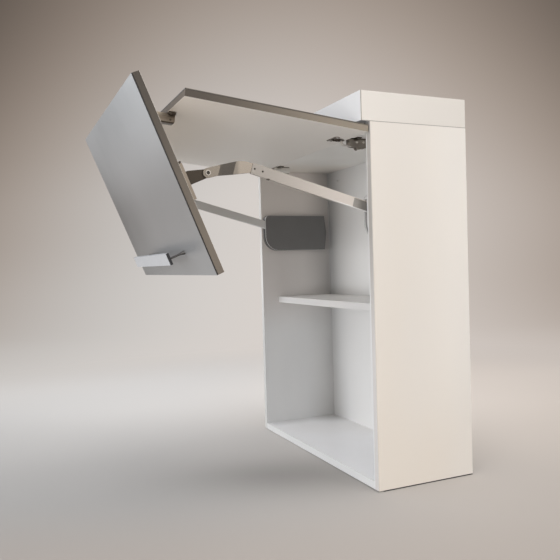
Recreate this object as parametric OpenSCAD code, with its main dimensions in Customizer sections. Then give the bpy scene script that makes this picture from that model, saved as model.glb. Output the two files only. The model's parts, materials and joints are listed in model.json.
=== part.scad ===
// Wall cabinet with a two-leaf front that folds upwards on balanced lift units.
// The cabinet stands at its real size, in millimetres, with its doors fully raised.
// Sizes are set out with X from the middle, Y back from the carcass front and Z up from
// its underside, and in_frame() then moves the origin to the middle of the wall screws.
// Doors are drawn shut and swung to the raised pose, and right-hand fittings are mirrored.

/* [Carcass] */
// Overall width
cabinet_w = 800; // [600:10:1200]
// Depth from the front edges to the wall
cabinet_d = 320; // [300:5:400]
// Height of the side panels
side_h = 1000; // [900:10:1200]
// Thickness of the carcass boards
board_t = 22; // [18:1:25]
// Thickness of the back panel
back_t = 8; // [5:1:10]
// Thickness of the hanging rail behind the back panel
rail_t = 22; // [18:1:25]
// Height of the hanging rail
rail_h = 90; // [70:5:120]
// Depth of the grooves that hold the back panel
groove_d = 8; // [5:1:10]
// Height of the shelf's top face above the underside
shelf_top = 502; // [400:1:560]
// How far the shelf stands back from the front edges
shelf_setback = 61; // [60:1:120]
// Radius of the shelf pins
pin_r = 2.5; // [2:0.5:3]
// Length of a shelf pin
pin_len = 18; // [16:1:20]
// Radius of the assembly dowels
dowel_r = 4; // [3:0.5:5]
// Length of the assembly dowels
dowel_len = 34; // [30:1:40]

/* [Cornice] */
// Height of the cornice box
cornice_h = 80; // [50:5:120]
// How far the cornice stands out in front of the carcass
cornice_over = 28; // [26:1:40]
// Thickness of the cornice boards
cornice_t = 18; // [16:1:22]
// Chamfer along the cornice's mitred corners
mitre_relief = 1.2; // [0.5:0.1:2]

/* [Doors] */
// How far the shut lower leaf hangs below the carcass
leaf_under = 23; // [0:1:30]
// Thickness of the door core
core_t = 18.5; // [17:0.5:20]
// Thickness of the facing sheet on the outside
facing_t = 2; // [1:0.5:3]
// Shadow groove between the facing and the core
shadow_groove = 1.4; // [1:0.1:2]
// Gap between the shut doors and the carcass
shut_gap = 4; // [3:0.5:6]
// Gap between the shut upper leaf and the cornice
top_gap = 10; // [8:1:14]
// Gap between the two shut leaves
leaf_gap = 3; // [2:0.5:5]
// Gap between a leaf's end and the line of the carcass side
side_reveal = 1; // [0.5:0.5:3]
// Angle that the upper leaf opens through
open_angle = 96.25; // [90:0.25:100]
// Angle that the lower leaf folds through
fold_angle = 118.5; // [110:0.5:120]

/* [Top hinges] */
// Distance of each top hinge from the cabinet's side
hinge_in = 130; // [110:5:180]
// Depth of the hinge pin inside the leaf
pin_in_leaf = 10; // [9:0.5:11]
// Drop of the hinge pin below the leaf's top edge
pin_drop = 9.3; // [9:0.1:10]
// Radius of the hinge cup
cup_r = 17.5; // [16:0.5:18]
// Depth of the hinge cup
cup_depth = 14.4; // [14:0.2:15]
// Distance of the cup's centre below the leaf's top edge
cup_drop = 21; // [21:0.5:23]
// Length of the hinge arm under the top panel
hinge_arm_len = 64; // [50:1:75]
// Width of the hinge arm
hinge_arm_w = 18; // [14:1:22]
// Height of the hinge arm
hinge_arm_h = 19; // [16:1:22]

/* [Centre hinges] */
// Distance of each centre hinge from the cabinet's side
fold_in = 175; // [165:5:200]
// How far the fold axis stands proud of the leaves' inner faces
fold_off = 12.5; // [12:0.5:14]
// How far the fold axis lies below the lower leaf's top edge
fold_drop = 65; // [60:1:70]
// Width of a centre hinge arm
fold_arm_w = 22; // [18:1:26]
// Thickness of the centre hinge's metal
fold_metal = 2.5; // [2:0.5:3]
// Radius of the fold pin
fold_pin_r = 3; // [2.5:0.5:4]

/* [Lift units] */
// Room left between the lift unit's housing and the back panel
lift_rear = 38; // [32:2:42]
// Height of the lift unit's housing
lift_h = 132; // [124:2:140]
// How far the housing's middle line lies below the lever's axle
lift_mid_drop = 1; // [0:0.5:4]
// How far the housing stands back from the front edges
lift_front = 5; // [2:0.5:8]
// Depth of the housing including its cover
lift_t = 28; // [27:0.5:32]
// Thickness of the housing's base plate
base_t = 3; // [2:0.5:4]
// Thickness of the housing's rim
rim_t = 1.5; // [1:0.5:2]
// Thickness of the cover
cover_t = 2.5; // [2:0.5:3]
// Distance of the lever's axle behind the front edges
axle_y = 75; // [72:1:78]
// Radius of the lever's axle
axle_r = 7; // [6:0.5:8]
// Distance from the lever's axle to its roller
roller_reach = 34; // [32:1:36]
// Radius of the roller
roller_r = 7; // [6:0.5:8]
// Radius of the lift springs to the middle of the wire
spring_r = 8; // [7:0.5:8]
// Radius of the spring wire
wire_r = 1.2; // [1:0.1:1.4]
// Turns of each lift spring
spring_turns = 10; // [8:1:12]

/* [Lift arms] */
// Distance of the arm's middle plane from the side panel
arm_in = 17.5; // [17:0.5:18]
// Angle at the axle between the tube and the line to the rivet
arm_crank = 4.1; // [3.5:0.1:4.5]
// Height of the tube's middle line above the axle, square to the tube
tube_rise = 10.5; // [9:0.5:12]
// Distance along the tube from the goose-neck's bend back to the rivet
neck_run = 84; // [80:1:90]
// Distance along the tube from its front end to the goose-neck's bend
neck_bare = 26; // [24:1:32]
// Distance along the tube from the axle to its rear end
tube_start = 42; // [40:1:50]
// Distance along the tube from the axle to the window over the lever
window_end = 118; // [110:1:130]
// Height of the tube
tube_h = 28; // [26:0.5:29]
// Thickness of the tube across its flat side
tube_t = 9; // [9:0.5:10]
// Wall of the tube
tube_wall = 1.6; // [1.2:0.1:1.8]
// Radius of the bend in the goose-neck
neck_bend_r = 70; // [60:1:80]
// Sideways step of the goose-neck towards the side panel
neck_step = 10; // [9:0.5:10]
// Distance from the rivet to where the goose-neck's underside turns level, which fills its bend
neck_fill = 22; // [16:1:34]
// Drop of the arm's rivet below the lower leaf's top edge
rivet_drop = 271; // [265:1:275]
// Distance of the arm's rivet from the leaf's inner face
rivet_off = 68; // [66:1:70]
// Radius of the arm's rivet
rivet_r = 4; // [3:0.5:5]
// Length of the bracket on the lower leaf
bracket_len = 92; // [86:1:98]
// Width of the bracket on the lower leaf
bracket_w = 36; // [32:1:40]
// Height of the bracket's side walls
bracket_h = 15; // [12:1:18]

/* [Handle] */
// Length of the grip
grip_len = 424; // [300:2:500]
// Height of the grip
grip_h = 33; // [28:1:38]
// Thickness of the grip
grip_t = 8; // [6:0.5:10]
// Distance from the leaf's face to the grip's outer face
grip_off = 50; // [42:1:55]
// Height of the grip's middle above the lower leaf's bottom edge
grip_up = 67; // [50:1:90]
// Distance of each post from the grip's end
post_in = 7; // [6:1:60]
// Radius of the posts
post_r = 3; // [3:0.5:5]

/* [Wall fixing] */
// Distance of each wall screw hole from the cabinet's side
wall_in = 100; // [80:10:160]
// Radius of the wall screw holes
wall_hole_r = 4; // [3:0.5:5]
// Distance of the wall screw holes below the top of the sides
wall_drop = 60; // [50:1:70]

/* [Hidden] */
$fn = 48;

// Overrun of every cut beyond the face that it opens
over = 1;
// Running clearance round a shaft or pin
run_gap = 0.05;
// Clearance between neighbours that slide past each other
slide_gap = 0.3;
// Seating clearance of a panel in its groove
groove_gap = 0.1;

// Carcass places
half_w = cabinet_w / 2;
inner_x = half_w - board_t;
wall_pitch = cabinet_w - 2 * wall_in;
wall_hole_z = side_h - wall_drop;
back_y = cabinet_d - rail_t - back_t;
top_z = side_h - board_t;
// Clearance at each end of the shelf
shelf_gap = 1;
// Depth of the hole that takes a shelf pin
pin_hole = 10;
// Distance of the shelf pins from the shelf's front and back edges
pin_edge = 32;
// Depth of a dowel in the side panel
dowel_in_side = 12;
// Distance of the first and last dowel from the board's edges
dowel_edge = 45;

// Leaf places when shut: the inner face, the outer face and the edges
leaf_t = core_t + facing_t;
leaf_in = -shut_gap;
leaf_out = leaf_in - leaf_t;
leaf_w = cabinet_w - 2 * side_reveal;
leaf_h = (side_h - top_gap - leaf_gap + leaf_under) / 2;
hinge_x = half_w - hinge_in;
fold_x = half_w - fold_in;
upper_top = side_h - top_gap;
upper_bottom = upper_top - leaf_h;
lower_top = upper_bottom - leaf_gap;
lower_bottom = lower_top - leaf_h;

// Axes as [y, z] with the doors shut
hinge_axis = [leaf_in - pin_in_leaf, upper_top - pin_drop];
fold_axis = [leaf_in + fold_off, lower_top - fold_drop];
rivet_shut = [leaf_in + rivet_off, lower_top - rivet_drop];

// Turns the point p about c by the angle a, both as [y, z]
function turned(p, c, a) = let (d = p - c)
    c + [d[0] * cos(a) - d[1] * sin(a), d[0] * sin(a) + d[1] * cos(a)];
function raised(p) = turned(p, hinge_axis, -open_angle);
function folded(p) = raised(turned(p, fold_axis, fold_angle));

fold_open = raised(fold_axis);
rivet_open = folded(rivet_shut);
post_x = grip_len / 2 - post_in;

// The axle is as far from the rivet with the doors shut as with them raised
rivet_mid = (rivet_open + rivet_shut) / 2;
rivet_move = rivet_shut - rivet_open;
axle = [axle_y, rivet_mid[1] - (axle_y - rivet_mid[0]) * rivet_move[0] / rivet_move[1]];
reach_open = rivet_open - axle;
reach_shut = rivet_shut - axle;
arm_swing = 360 + atan2(reach_shut[1], reach_shut[0]) - atan2(reach_open[1], reach_open[0]);
arm_tilt = atan2(reach_open[1], -reach_open[0]) + arm_crank;

// Lift unit places on the right-hand side
lift_mid = axle[1] - lift_mid_drop;
lift_len = back_y - lift_front - lift_rear;
arm_x = inner_x - arm_in;
base_x = inner_x - base_t;
cover_x = inner_x - lift_t + cover_t;
// Thickness of the lever and of the goose-neck bar
bar_t = 5;
// Clearance of the arm in the housing's slot
slot_gap = 0.8;
// Radius of the housing's upper and lower front corners
lift_top_r = 16;
lift_low_r = 54;
// How far the housing's rear end comes to a blunt point
lift_point = 9;
// Radius of the lever's hub
hub_r = 15;
// Angle of the roller about the axle with the doors raised, seen in the cabinet
roller_angle = -152;
// Width of the roller
roller_w = 8;
// Radius of the roller's pin
roller_pin_r = 3;
roller_x = arm_x + bar_t / 2 + slide_gap;
roller_open = axle + roller_reach * [cos(roller_angle), sin(roller_angle)];
slider_travel = roller_reach * (cos(roller_angle + arm_swing) - cos(roller_angle));
// Play between the roller and the slider's face at the ends of the travel
roller_play = 0.5;
slider_face = roller_open[0] + roller_r + roller_play;
// Thickness of the slider, which runs close to the base plate
slider_t = base_x - slide_gap - roller_x;
// How much of the push bar stands above and below the roller's axis
slider_above = 5;
slider_below = 19;
// Length of the push bar, and the thickness and height of its crosshead
push_len = 72;
head_t = 8;
head_h = 74;
head_y = slider_face + push_len;
// Half the distance between the two springs of a unit
spring_half = 24;
spring_x = inner_x - base_t - spring_r - wire_r - slide_gap;
// Distance of the rear spring seat from the housing's rear, and its thickness
seat_in = 8;
seat_t = 3;
seat_y = lift_front + lift_len - seat_in;
rod_r = 3;
// Length of the spigots that hold the springs on the crosshead
spigot_len = 8;
// Where the rear rods start, clear of the spigots with the doors shut
rod_y0 = head_y + head_t + slider_travel + spigot_len + over;
// Lower and upper edges of the push bar, and the guide ribs beside it
push_low = roller_open[1] - slider_below;
push_high = roller_open[1] + slider_above;
guide_t = 3;
guide_h = 2.5;

// Turn of the arm from the line of its tube to the line from axle to rivet
rivet_local = turned(reach_open, [0, 0], arm_tilt);
neck_corner = -rivet_local[0] - neck_run;
tube_end = neck_corner - neck_bare;

// Screw sizes: shank radius, head radius and head height
screw_r = 1.8;
screw_head_r = 3.6;
screw_head_h = 2;
// Screw lengths for thick boards and for the leaves
board_screw_len = 15;
leaf_screw_len = 12;

// Places that several pieces share
top_screw_x = 20;
// Distances of the top hinge's mounting plate and of its screws from the front edges
top_plate_y = 6;
top_screw_y = 30;
cup_screw_x = 24;
// How far the cup's screws and flange sit below the cup's centre
cup_screw_drop = 14;
fold_plate_len = 18;
fold_plate_t = 6;
fold_block_len = 44;
// Distance of the centre hinge's base from the upper leaf's lower edge
fold_plate_edge = 3;
fold_plate_w = 50;
fold_screw_x = 19;
plate_t = 2.5;

module in_frame() translate([0, -cabinet_d, -wall_hole_z]) children();
module left() mirror([1, 0, 0]) children();
module both() { children(); left() children(); }

// Swings a piece drawn with the doors shut into the raised pose
module about(c, a) translate([0, c[0], c[1]]) rotate([a, 0, 0]) translate([0, -c[0], -c[1]]) children();
module raise() about(hinge_axis, -open_angle) children();
module fold() raise() about(fold_axis, fold_angle) children();

// A block from its low corner to its high corner
module block(low, high) translate(low) cube(high - low);

// A rod along X from x0 to x1 at [y, z]
module rod_x(x0, x1, p, r) translate([x0, p[0], p[1]]) rotate([0, 90, 0]) cylinder(h = x1 - x0, r = r);

// A flat piece drawn as [y, z] and given thickness along X from x0 to x1
module flat_x(x0, x1) translate([x0, 0, 0]) rotate([90, 0, 90]) linear_extrude(x1 - x0) children();

// A countersunk screw whose head's face lies at the origin and whose shank runs along -Z
module screw(len) {
    rotate([180, 0, 0]) difference() {
        union() {
            cylinder(h = len, r = screw_r);
            cylinder(h = screw_head_h, r1 = screw_head_r, r2 = screw_r);
        }
        translate([0, 0, -over]) cylinder(h = over + screw_head_h / 2, r = screw_r / 2, $fn = 6);
    }
}

// The hole that such a screw seats in
module screw_seat(len) {
    rotate([180, 0, 0]) {
        cylinder(h = len + run_gap, r = screw_r + run_gap);
        cylinder(h = screw_head_h, r1 = screw_head_r + run_gap, r2 = screw_r + run_gap);
        translate([0, 0, -over]) cylinder(h = over + run_gap, r = screw_head_r + run_gap);
    }
}

// Places of the screws, each set out for the right-hand side
module at_lift_screws() {
    // Distances from the housing's ends and from its upper and lower edges
    lift_screw_in = 22;
    lift_screw_edge = 16;
    lift_screw_up = lift_h / 2 - lift_screw_edge;
    for (p = [[lift_front + lift_screw_in, lift_screw_up], [lift_front + lift_len - lift_screw_in, lift_screw_up],
              [lift_front + lift_len - lift_screw_in, -lift_screw_up]])
        translate([base_x, p[0], lift_mid + p[1]]) rotate([0, -90, 0]) children();
}
module at_top_hinge_screws()
    for (s = [-1, 1])
        translate([hinge_x + s * top_screw_x, top_screw_y, top_z - plate_t]) rotate([180, 0, 0]) children();
module at_cup_screws()
    for (s = [-1, 1])
        translate([hinge_x + s * cup_screw_x, leaf_in + flange_t, upper_top - cup_drop - cup_screw_drop])
            rotate([-90, 0, 0]) children();
module at_fold_screws_upper()
    for (s = [-1, 1])
        translate([fold_x + s * fold_screw_x, leaf_in + fold_plate_t, fold_plate_z])
            rotate([-90, 0, 0]) children();
module at_fold_screws_lower()
    for (s = [-1, 1])
        translate([fold_x + s * fold_screw_x, leaf_in + plate_t, fold_axis[1]]) rotate([-90, 0, 0]) children();
module at_bracket_screws() {
    // Spacing of the bracket's screws and how far they stand from its wall
    bracket_pitch = 36;
    for (i = [-1 : 1])
        translate([bracket_x - bracket_w / 2 - bracket_screw_in, leaf_in + plate_t,
                   rivet_shut[1] + i * bracket_pitch]) rotate([-90, 0, 0]) children();
}
module at_handle_screws()
    for (s = [-1, 1])
        translate([s * post_x, leaf_in, lower_bottom + grip_up]) rotate([-90, 0, 0]) children();

// Carcass boards

module dowel_row(z) {
    span = back_y - 2 * dowel_edge;
    for (i = [0 : 2])
        translate([inner_x - dowel_len + dowel_in_side, dowel_edge + i * span / 2, z])
            rotate([0, 90, 0]) children();
}
module dowel_holes(z)
    dowel_row(z) translate([0, 0, -run_gap]) cylinder(h = dowel_len + 2 * run_gap, r = dowel_r + run_gap);

module side_panel() {
    difference() {
        block([inner_x, 0, 0], [half_w, cabinet_d, side_h]);
        block([inner_x - over, back_y - groove_gap, board_t - groove_d - groove_gap],
              [inner_x + groove_d + groove_gap, back_y + back_t + groove_gap, top_z + groove_d + groove_gap]);
        for (z = [board_t / 2, side_h - board_t / 2]) dowel_holes(z);
        at_shelf_pins() translate([0, 0, -run_gap]) cylinder(h = pin_len + 2 * run_gap, r = pin_r + run_gap);
        at_lift_screws() screw_seat(board_screw_len);
    }
}
module side_panel_left() color("Linen") in_frame() left() side_panel();
module side_panel_right() color("Linen") in_frame() side_panel();

module top_panel() {
    color("WhiteSmoke") in_frame() difference() {
        block([-inner_x, 0, top_z], [inner_x, cabinet_d, side_h]);
        block([-half_w, back_y - groove_gap, top_z - over],
              [half_w, back_y + back_t + groove_gap, top_z + groove_d + groove_gap]);
        both() dowel_holes(side_h - board_t / 2);
        both() at_top_hinge_screws() screw_seat(board_screw_len);
    }
}
module bottom_panel() {
    color("WhiteSmoke") in_frame() difference() {
        block([-inner_x, 0, 0], [inner_x, cabinet_d, board_t]);
        block([-half_w, back_y - groove_gap, board_t - groove_d - groove_gap],
              [half_w, back_y + back_t + groove_gap, board_t + over]);
        both() dowel_holes(board_t / 2);
    }
}
module wall_holes()
    for (s = [-1, 1])
        translate([s * wall_pitch / 2, cabinet_d + over, wall_hole_z]) rotate([90, 0, 0])
            cylinder(h = rail_t + back_t + 2 * over, r = wall_hole_r);
module back_panel() {
    color("WhiteSmoke") in_frame() difference() {
        block([-inner_x - groove_d, back_y, board_t - groove_d],
              [inner_x + groove_d, back_y + back_t, top_z + groove_d]);
        wall_holes();
    }
}
module hanging_rail() {
    color("BurlyWood") in_frame() difference() {
        block([-inner_x, cabinet_d - rail_t, top_z - rail_h], [inner_x, cabinet_d, top_z]);
        wall_holes();
    }
}
module shelf() {
    color("WhiteSmoke") in_frame()
        block([-inner_x + shelf_gap, shelf_setback, shelf_top - board_t],
              [inner_x - shelf_gap, back_y - shelf_gap, shelf_top]);
}
module at_shelf_pins()
    for (y = [shelf_setback + pin_edge, back_y - shelf_gap - pin_edge])
        translate([inner_x + pin_hole - pin_len, y, shelf_top - board_t - pin_r]) rotate([0, 90, 0]) children();
module shelf_pins()
    color("Silver") in_frame() both() at_shelf_pins() cylinder(h = pin_len, r = pin_r);
module carcass_dowels() {
    color("Peru") in_frame() both()
        for (z = [board_t / 2, side_h - board_t / 2]) dowel_row(z) cylinder(h = dowel_len, r = dowel_r);
}
module carcass_screws() {
    color("Gainsboro") in_frame() both() {
        at_lift_screws() screw(board_screw_len);
        at_top_hinge_screws() screw(board_screw_len);
    }
}

// Cornice boards, mitred at the front corners

front_y = -cornice_over;
cornice_top = side_h + cornice_h;
module cornice_front() {
    color("White") in_frame() translate([0, 0, side_h]) linear_extrude(cornice_h)
        polygon([[-half_w + mitre_relief, front_y], [half_w - mitre_relief, front_y],
                 [half_w - mitre_relief, front_y + mitre_relief],
                 [half_w - cornice_t, front_y + cornice_t], [-half_w + cornice_t, front_y + cornice_t],
                 [-half_w + mitre_relief, front_y + mitre_relief]]);
}
module cornice_side() {
    translate([0, 0, side_h]) linear_extrude(cornice_h)
        polygon([[half_w - mitre_relief, front_y + mitre_relief], [half_w, front_y + mitre_relief],
                 [half_w, cabinet_d], [half_w - cornice_t, cabinet_d],
                 [half_w - cornice_t, front_y + cornice_t]]);
}
module cornice_left() color("Linen") in_frame() left() cornice_side();
module cornice_right() color("Linen") in_frame() cornice_side();
module cornice_cap() {
    color("WhiteSmoke") in_frame()
        block([-half_w + cornice_t, front_y + cornice_t, cornice_top - cornice_t],
              [half_w - cornice_t, cabinet_d, cornice_top]);
}

// Door leaves: a core board with a thin facing sheet on the outside

module core(bottom) {
    difference() {
        block([-leaf_w / 2, leaf_in - core_t, bottom], [leaf_w / 2, leaf_in, bottom + leaf_h]);
        shadow_cut(bottom);
    }
}
// The groove runs round the core's outer arris, against the facing
module shadow_cut(bottom) {
    face = leaf_in - core_t;
    difference() {
        block([-leaf_w / 2 - over, face - over, bottom - over],
              [leaf_w / 2 + over, face + shadow_groove, bottom + leaf_h + over]);
        block([-leaf_w / 2 + shadow_groove, face - 2 * over, bottom + shadow_groove],
              [leaf_w / 2 - shadow_groove, face + 2 * over, bottom + leaf_h - shadow_groove]);
    }
}
module facing(bottom)
    block([-leaf_w / 2, leaf_out, bottom], [leaf_w / 2, leaf_out + facing_t, bottom + leaf_h]);

module upper_door() {
    color("RosyBrown") in_frame() raise() difference() {
        core(upper_bottom);
        both() translate([hinge_x, leaf_in + over, upper_top - cup_drop]) rotate([90, 0, 0])
            cylinder(h = cup_depth + over + run_gap, r = cup_r + run_gap);
        both() at_cup_screws() screw_seat(leaf_screw_len);
        both() at_fold_screws_upper() screw_seat(board_screw_len);
    }
}
module upper_door_facing() color("Silver") in_frame() raise() facing(upper_bottom);
module upper_door_screws() {
    color("Gainsboro") in_frame() raise() both() {
        at_cup_screws() screw(leaf_screw_len);
        at_fold_screws_upper() screw(board_screw_len);
    }
}
module lower_door() {
    color("RosyBrown") in_frame() fold() difference() {
        core(lower_bottom);
        both() at_fold_screws_lower() screw_seat(leaf_screw_len);
        both() at_bracket_screws() screw_seat(leaf_screw_len);
        handle_bores();
    }
}
module lower_door_facing() {
    color("Silver") in_frame() fold() difference() {
        facing(lower_bottom);
        handle_bores();
    }
}
module lower_door_screws() {
    color("Gainsboro") in_frame() fold() both() {
        at_fold_screws_lower() screw(leaf_screw_len);
        at_bracket_screws() screw(leaf_screw_len);
    }
}

// Handle: a flat grip on two slim posts, screwed on from inside

// Radius of the handle screws, and how far they enter the posts
handle_screw_r = 2;
handle_screw_in = 14;
// Radius and height of the foot that each post swells to
foot_r = 6;
foot_h = 14;
module handle_bores()
    at_handle_screws() translate([0, 0, -leaf_t - over])
        cylinder(h = leaf_t + 2 * over, r = handle_screw_r + run_gap);
module handle_grip() {
    color("Gainsboro") in_frame() fold() difference() {
        block([-grip_len / 2, leaf_out - grip_off, lower_bottom + grip_up - grip_h / 2],
              [grip_len / 2, leaf_out - grip_off + grip_t, lower_bottom + grip_up + grip_h / 2]);
        posts(run_gap);
    }
}
module posts(gap) {
    at_handle_screws() rotate([180, 0, 0]) translate([0, 0, leaf_t]) {
        cylinder(h = grip_off - grip_t / 2 + gap, r = post_r + gap);
        cylinder(h = foot_h, r1 = foot_r, r2 = post_r);
    }
}
module handle_posts() {
    color("Gainsboro") in_frame() fold() difference() {
        posts(0);
        at_handle_screws() translate([0, 0, -leaf_t - handle_screw_in - run_gap])
            cylinder(h = handle_screw_in + run_gap + over, r = handle_screw_r + run_gap);
    }
}
module handle_screws() {
    color("Gainsboro") in_frame() fold() at_handle_screws() {
        translate([0, 0, -leaf_t - handle_screw_in]) cylinder(h = leaf_t + handle_screw_in, r = handle_screw_r);
        cylinder(h = screw_head_h, r = 2 * handle_screw_r);
    }
}

// Top hinges: a mounting plate and a swan-necked arm on the carcass, a cup in the leaf

// Thickness of the cup's flange, its half width, the radius of its ends and its rim round the cup
flange_t = 1.2;
flange_half = 31;
flange_end_r = 8.5;
flange_rim = 2;
cup_wall = 1.8;
cup_floor = 0.8;
// Radii of the hinge pin and of the arm's eye round it
hinge_pin_r = 1.4;
eye_r = 2.9;
eye_w = 10;
// Width and thickness of the neck, and the drop from the pin to the neck's underside
neck_w = 12;
neck_t = 4.2;
neck_side = 1.6;
neck_drop = 17;
plate_wing = 27;
plate_wing_len = 15;
plate_core_w = 13;
arm_sheet = 1.6;

module top_hinge_plate() {
    difference() {
        union() {
            block([hinge_x - plate_wing, top_screw_y - plate_wing_len / 2, top_z - plate_t],
                  [hinge_x + plate_wing, top_screw_y + plate_wing_len / 2, top_z]);
            block([hinge_x - plate_core_w / 2, top_plate_y + arm_sheet, top_z - hinge_arm_h / 2],
                  [hinge_x + plate_core_w / 2, top_plate_y + hinge_arm_len - arm_sheet, top_z]);
        }
        at_top_hinge_screws() screw_seat(board_screw_len);
        at_arm_screws() arm_screw(run_gap);
    }
}
module top_hinge_plates() color("DimGray") in_frame() both() top_hinge_plate();

// The arm's two screws stand in line under it
module at_arm_screws()
    for (place_share = [0.3, 0.68])
        translate([hinge_x, top_plate_y + place_share * hinge_arm_len, top_z - hinge_arm_h]) children();
module arm_screw(gap) {
    // Radii of the head and shank
    head_r = 4.6;
    shank_r = 2.4;
    translate([0, 0, -screw_head_h]) cylinder(h = screw_head_h, r = head_r);
    cylinder(h = hinge_arm_h - plate_t + gap, r = shank_r + gap);
}
module top_hinge_arm() {
    low = top_z - hinge_arm_h;
    half = hinge_arm_w / 2;
    difference() {
        union() {
            difference() {
                block([hinge_x - half, top_plate_y, low],
                      [hinge_x + half, top_plate_y + hinge_arm_len, top_z - plate_t - slide_gap]);
                block([hinge_x - half + arm_sheet, top_plate_y + arm_sheet, low + arm_sheet],
                      [hinge_x + half - arm_sheet, top_plate_y + hinge_arm_len + over, top_z]);
            }
            block([hinge_x - neck_w / 2, hinge_axis[0] - eye_r, hinge_axis[1] - neck_drop],
                  [hinge_x + neck_w / 2, top_plate_y + arm_sheet, hinge_axis[1] - neck_drop + neck_t]);
            block([hinge_x - eye_w / 2, hinge_axis[0] - eye_r, hinge_axis[1] - neck_drop],
                  [hinge_x + eye_w / 2, hinge_axis[0] + neck_side, hinge_axis[1]]);
            rod_x(hinge_x - eye_w / 2, hinge_x + eye_w / 2, hinge_axis, eye_r);
        }
        rod_x(hinge_x - eye_w, hinge_x + eye_w, hinge_axis, hinge_pin_r + run_gap);
        at_arm_screws() translate([0, 0, -screw_head_h]) arm_screw(run_gap);
    }
}
module top_hinge_arm_left() color("Gray") in_frame() left() top_hinge_arm();
module top_hinge_arm_right() color("Gray") in_frame() top_hinge_arm();
module top_hinge_arm_screws() color("DarkGray") in_frame() both() at_arm_screws() arm_screw(0);

cup_inner_r = cup_r - cup_wall;
pin_half = sqrt(cup_r * cup_r - pow(cup_drop - pin_drop + hinge_pin_r, 2)) - 2 * run_gap;
module top_hinge_cup() {
    centre = [hinge_x, leaf_in, upper_top - cup_drop];
    difference() {
        union() {
            translate(centre) rotate([90, 0, 0]) cylinder(h = cup_depth, r = cup_r);
            translate(centre + [0, flange_t, 0]) rotate([90, 0, 0]) linear_extrude(flange_t) {
                circle(r = cup_r + flange_rim);
                hull() for (s = [-1, 1])
                    translate([s * (flange_half - flange_end_r), -cup_screw_drop]) circle(r = flange_end_r);
            }
        }
        translate(centre) translate([0, flange_t + over, 0]) rotate([90, 0, 0])
            cylinder(h = cup_depth - cup_floor + flange_t + over, r = cup_inner_r);
        at_cup_screws() screw_seat(leaf_screw_len);
        rod_x(hinge_x - pin_half - run_gap, hinge_x + pin_half + run_gap, hinge_axis, hinge_pin_r + run_gap);
    }
}
module top_hinge_cup_left() color("LightGray") in_frame() raise() left() top_hinge_cup();
module top_hinge_cup_right() color("LightGray") in_frame() raise() top_hinge_cup();
module top_hinge_pins()
    color("Silver") in_frame() raise() both()
        rod_x(hinge_x - pin_half, hinge_x + pin_half, hinge_axis, hinge_pin_r);

// Centre hinges: a long arm on the upper leaf, a knuckle block on the lower leaf

fold_plate_z = upper_bottom + fold_plate_edge + fold_plate_len / 2;
// Height of the arm's top edge over the leaves and of its bottom edge
fold_arm_top = 28;
fold_arm_low = 3;
// Radius of the arm's eye and of the block's knuckle, and the width of the knuckle
fold_eye_r = 9.5;
knuckle_r = 7.5;
knuckle_w = 12;

module centre_hinge_arm() {
    half = fold_arm_w / 2;
    top = fold_plate_z + fold_plate_len / 2;
    web = leaf_in + fold_arm_top;
    difference() {
        union() {
            block([fold_x - fold_plate_w / 2, leaf_in, fold_plate_z - fold_plate_len / 2],
                  [fold_x + fold_plate_w / 2, leaf_in + fold_plate_t, top]);
            for (x = [fold_x - half, fold_x + half - fold_metal]) flat_x(x, x + fold_metal) {
                polygon([[leaf_in + fold_plate_t, top], [web, top - fold_arm_low], [web, fold_axis[1] + fold_arm_top],
                         fold_axis + [fold_eye_r, 0], fold_axis - [fold_eye_r, 0],
                         [leaf_in + fold_arm_low, fold_plate_z - fold_plate_len / 2],
                         [leaf_in + fold_plate_t, fold_plate_z - fold_plate_len / 2]]);
                translate(fold_axis) circle(r = fold_eye_r);
            }
            block([fold_x - half, web - fold_metal, fold_axis[1] + fold_arm_top],
                  [fold_x + half, web, top - fold_arm_low]);
        }
        rod_x(fold_x - half - over, fold_x + half + over, fold_axis, fold_pin_r + run_gap);
        at_fold_screws_upper() screw_seat(board_screw_len);
    }
}
module centre_hinge_arm_left() color("DarkGray") in_frame() raise() left() centre_hinge_arm();
module centre_hinge_arm_right() color("DarkGray") in_frame() raise() centre_hinge_arm();

module centre_hinge_block() {
    half = fold_block_len / 2;
    difference() {
        union() {
            block([fold_x - fold_plate_w / 2, leaf_in, fold_axis[1] - half],
                  [fold_x + fold_plate_w / 2, leaf_in + plate_t, fold_axis[1] + half]);
            block([fold_x - knuckle_w / 2, leaf_in, fold_axis[1] - knuckle_r],
                  [fold_x + knuckle_w / 2, fold_axis[0], fold_axis[1] + knuckle_r]);
            rod_x(fold_x - knuckle_w / 2, fold_x + knuckle_w / 2, fold_axis, knuckle_r);
        }
        rod_x(fold_x - knuckle_w, fold_x + knuckle_w, fold_axis, fold_pin_r + run_gap);
        at_fold_screws_lower() screw_seat(leaf_screw_len);
    }
}
module centre_hinge_block_left() color("DimGray") in_frame() fold() left() centre_hinge_block();
module centre_hinge_block_right() color("DimGray") in_frame() fold() centre_hinge_block();
module centre_hinge_pins()
    color("Silver") in_frame() raise() both()
        rod_x(fold_x - fold_arm_w / 2, fold_x + fold_arm_w / 2, fold_axis, fold_pin_r);

// Lift units: base with rim, cover, axle, spring rods, slider and springs

// An arc of points round c from angle a0 to a1
function arc(c, r, a0, a1, steps) =
    [for (i = [0 : steps]) c + r * [cos(a0 + (a1 - a0) * i / steps), sin(a0 + (a1 - a0) * i / steps)]];

// The housing's side outline, drawn in by the given inset
function housing(inset) =
    let (low = lift_mid - lift_h / 2, high = lift_mid + lift_h / 2, back = lift_front + lift_len)
    concat(arc([lift_front + lift_low_r, low + lift_low_r], lift_low_r - inset, 270, 180, 16),
           arc([lift_front + lift_top_r, high - lift_top_r], lift_top_r - inset, 180, 90, 8),
           [[back, high - inset], [back + lift_point - inset, lift_mid], [back, low + inset]]);

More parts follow.
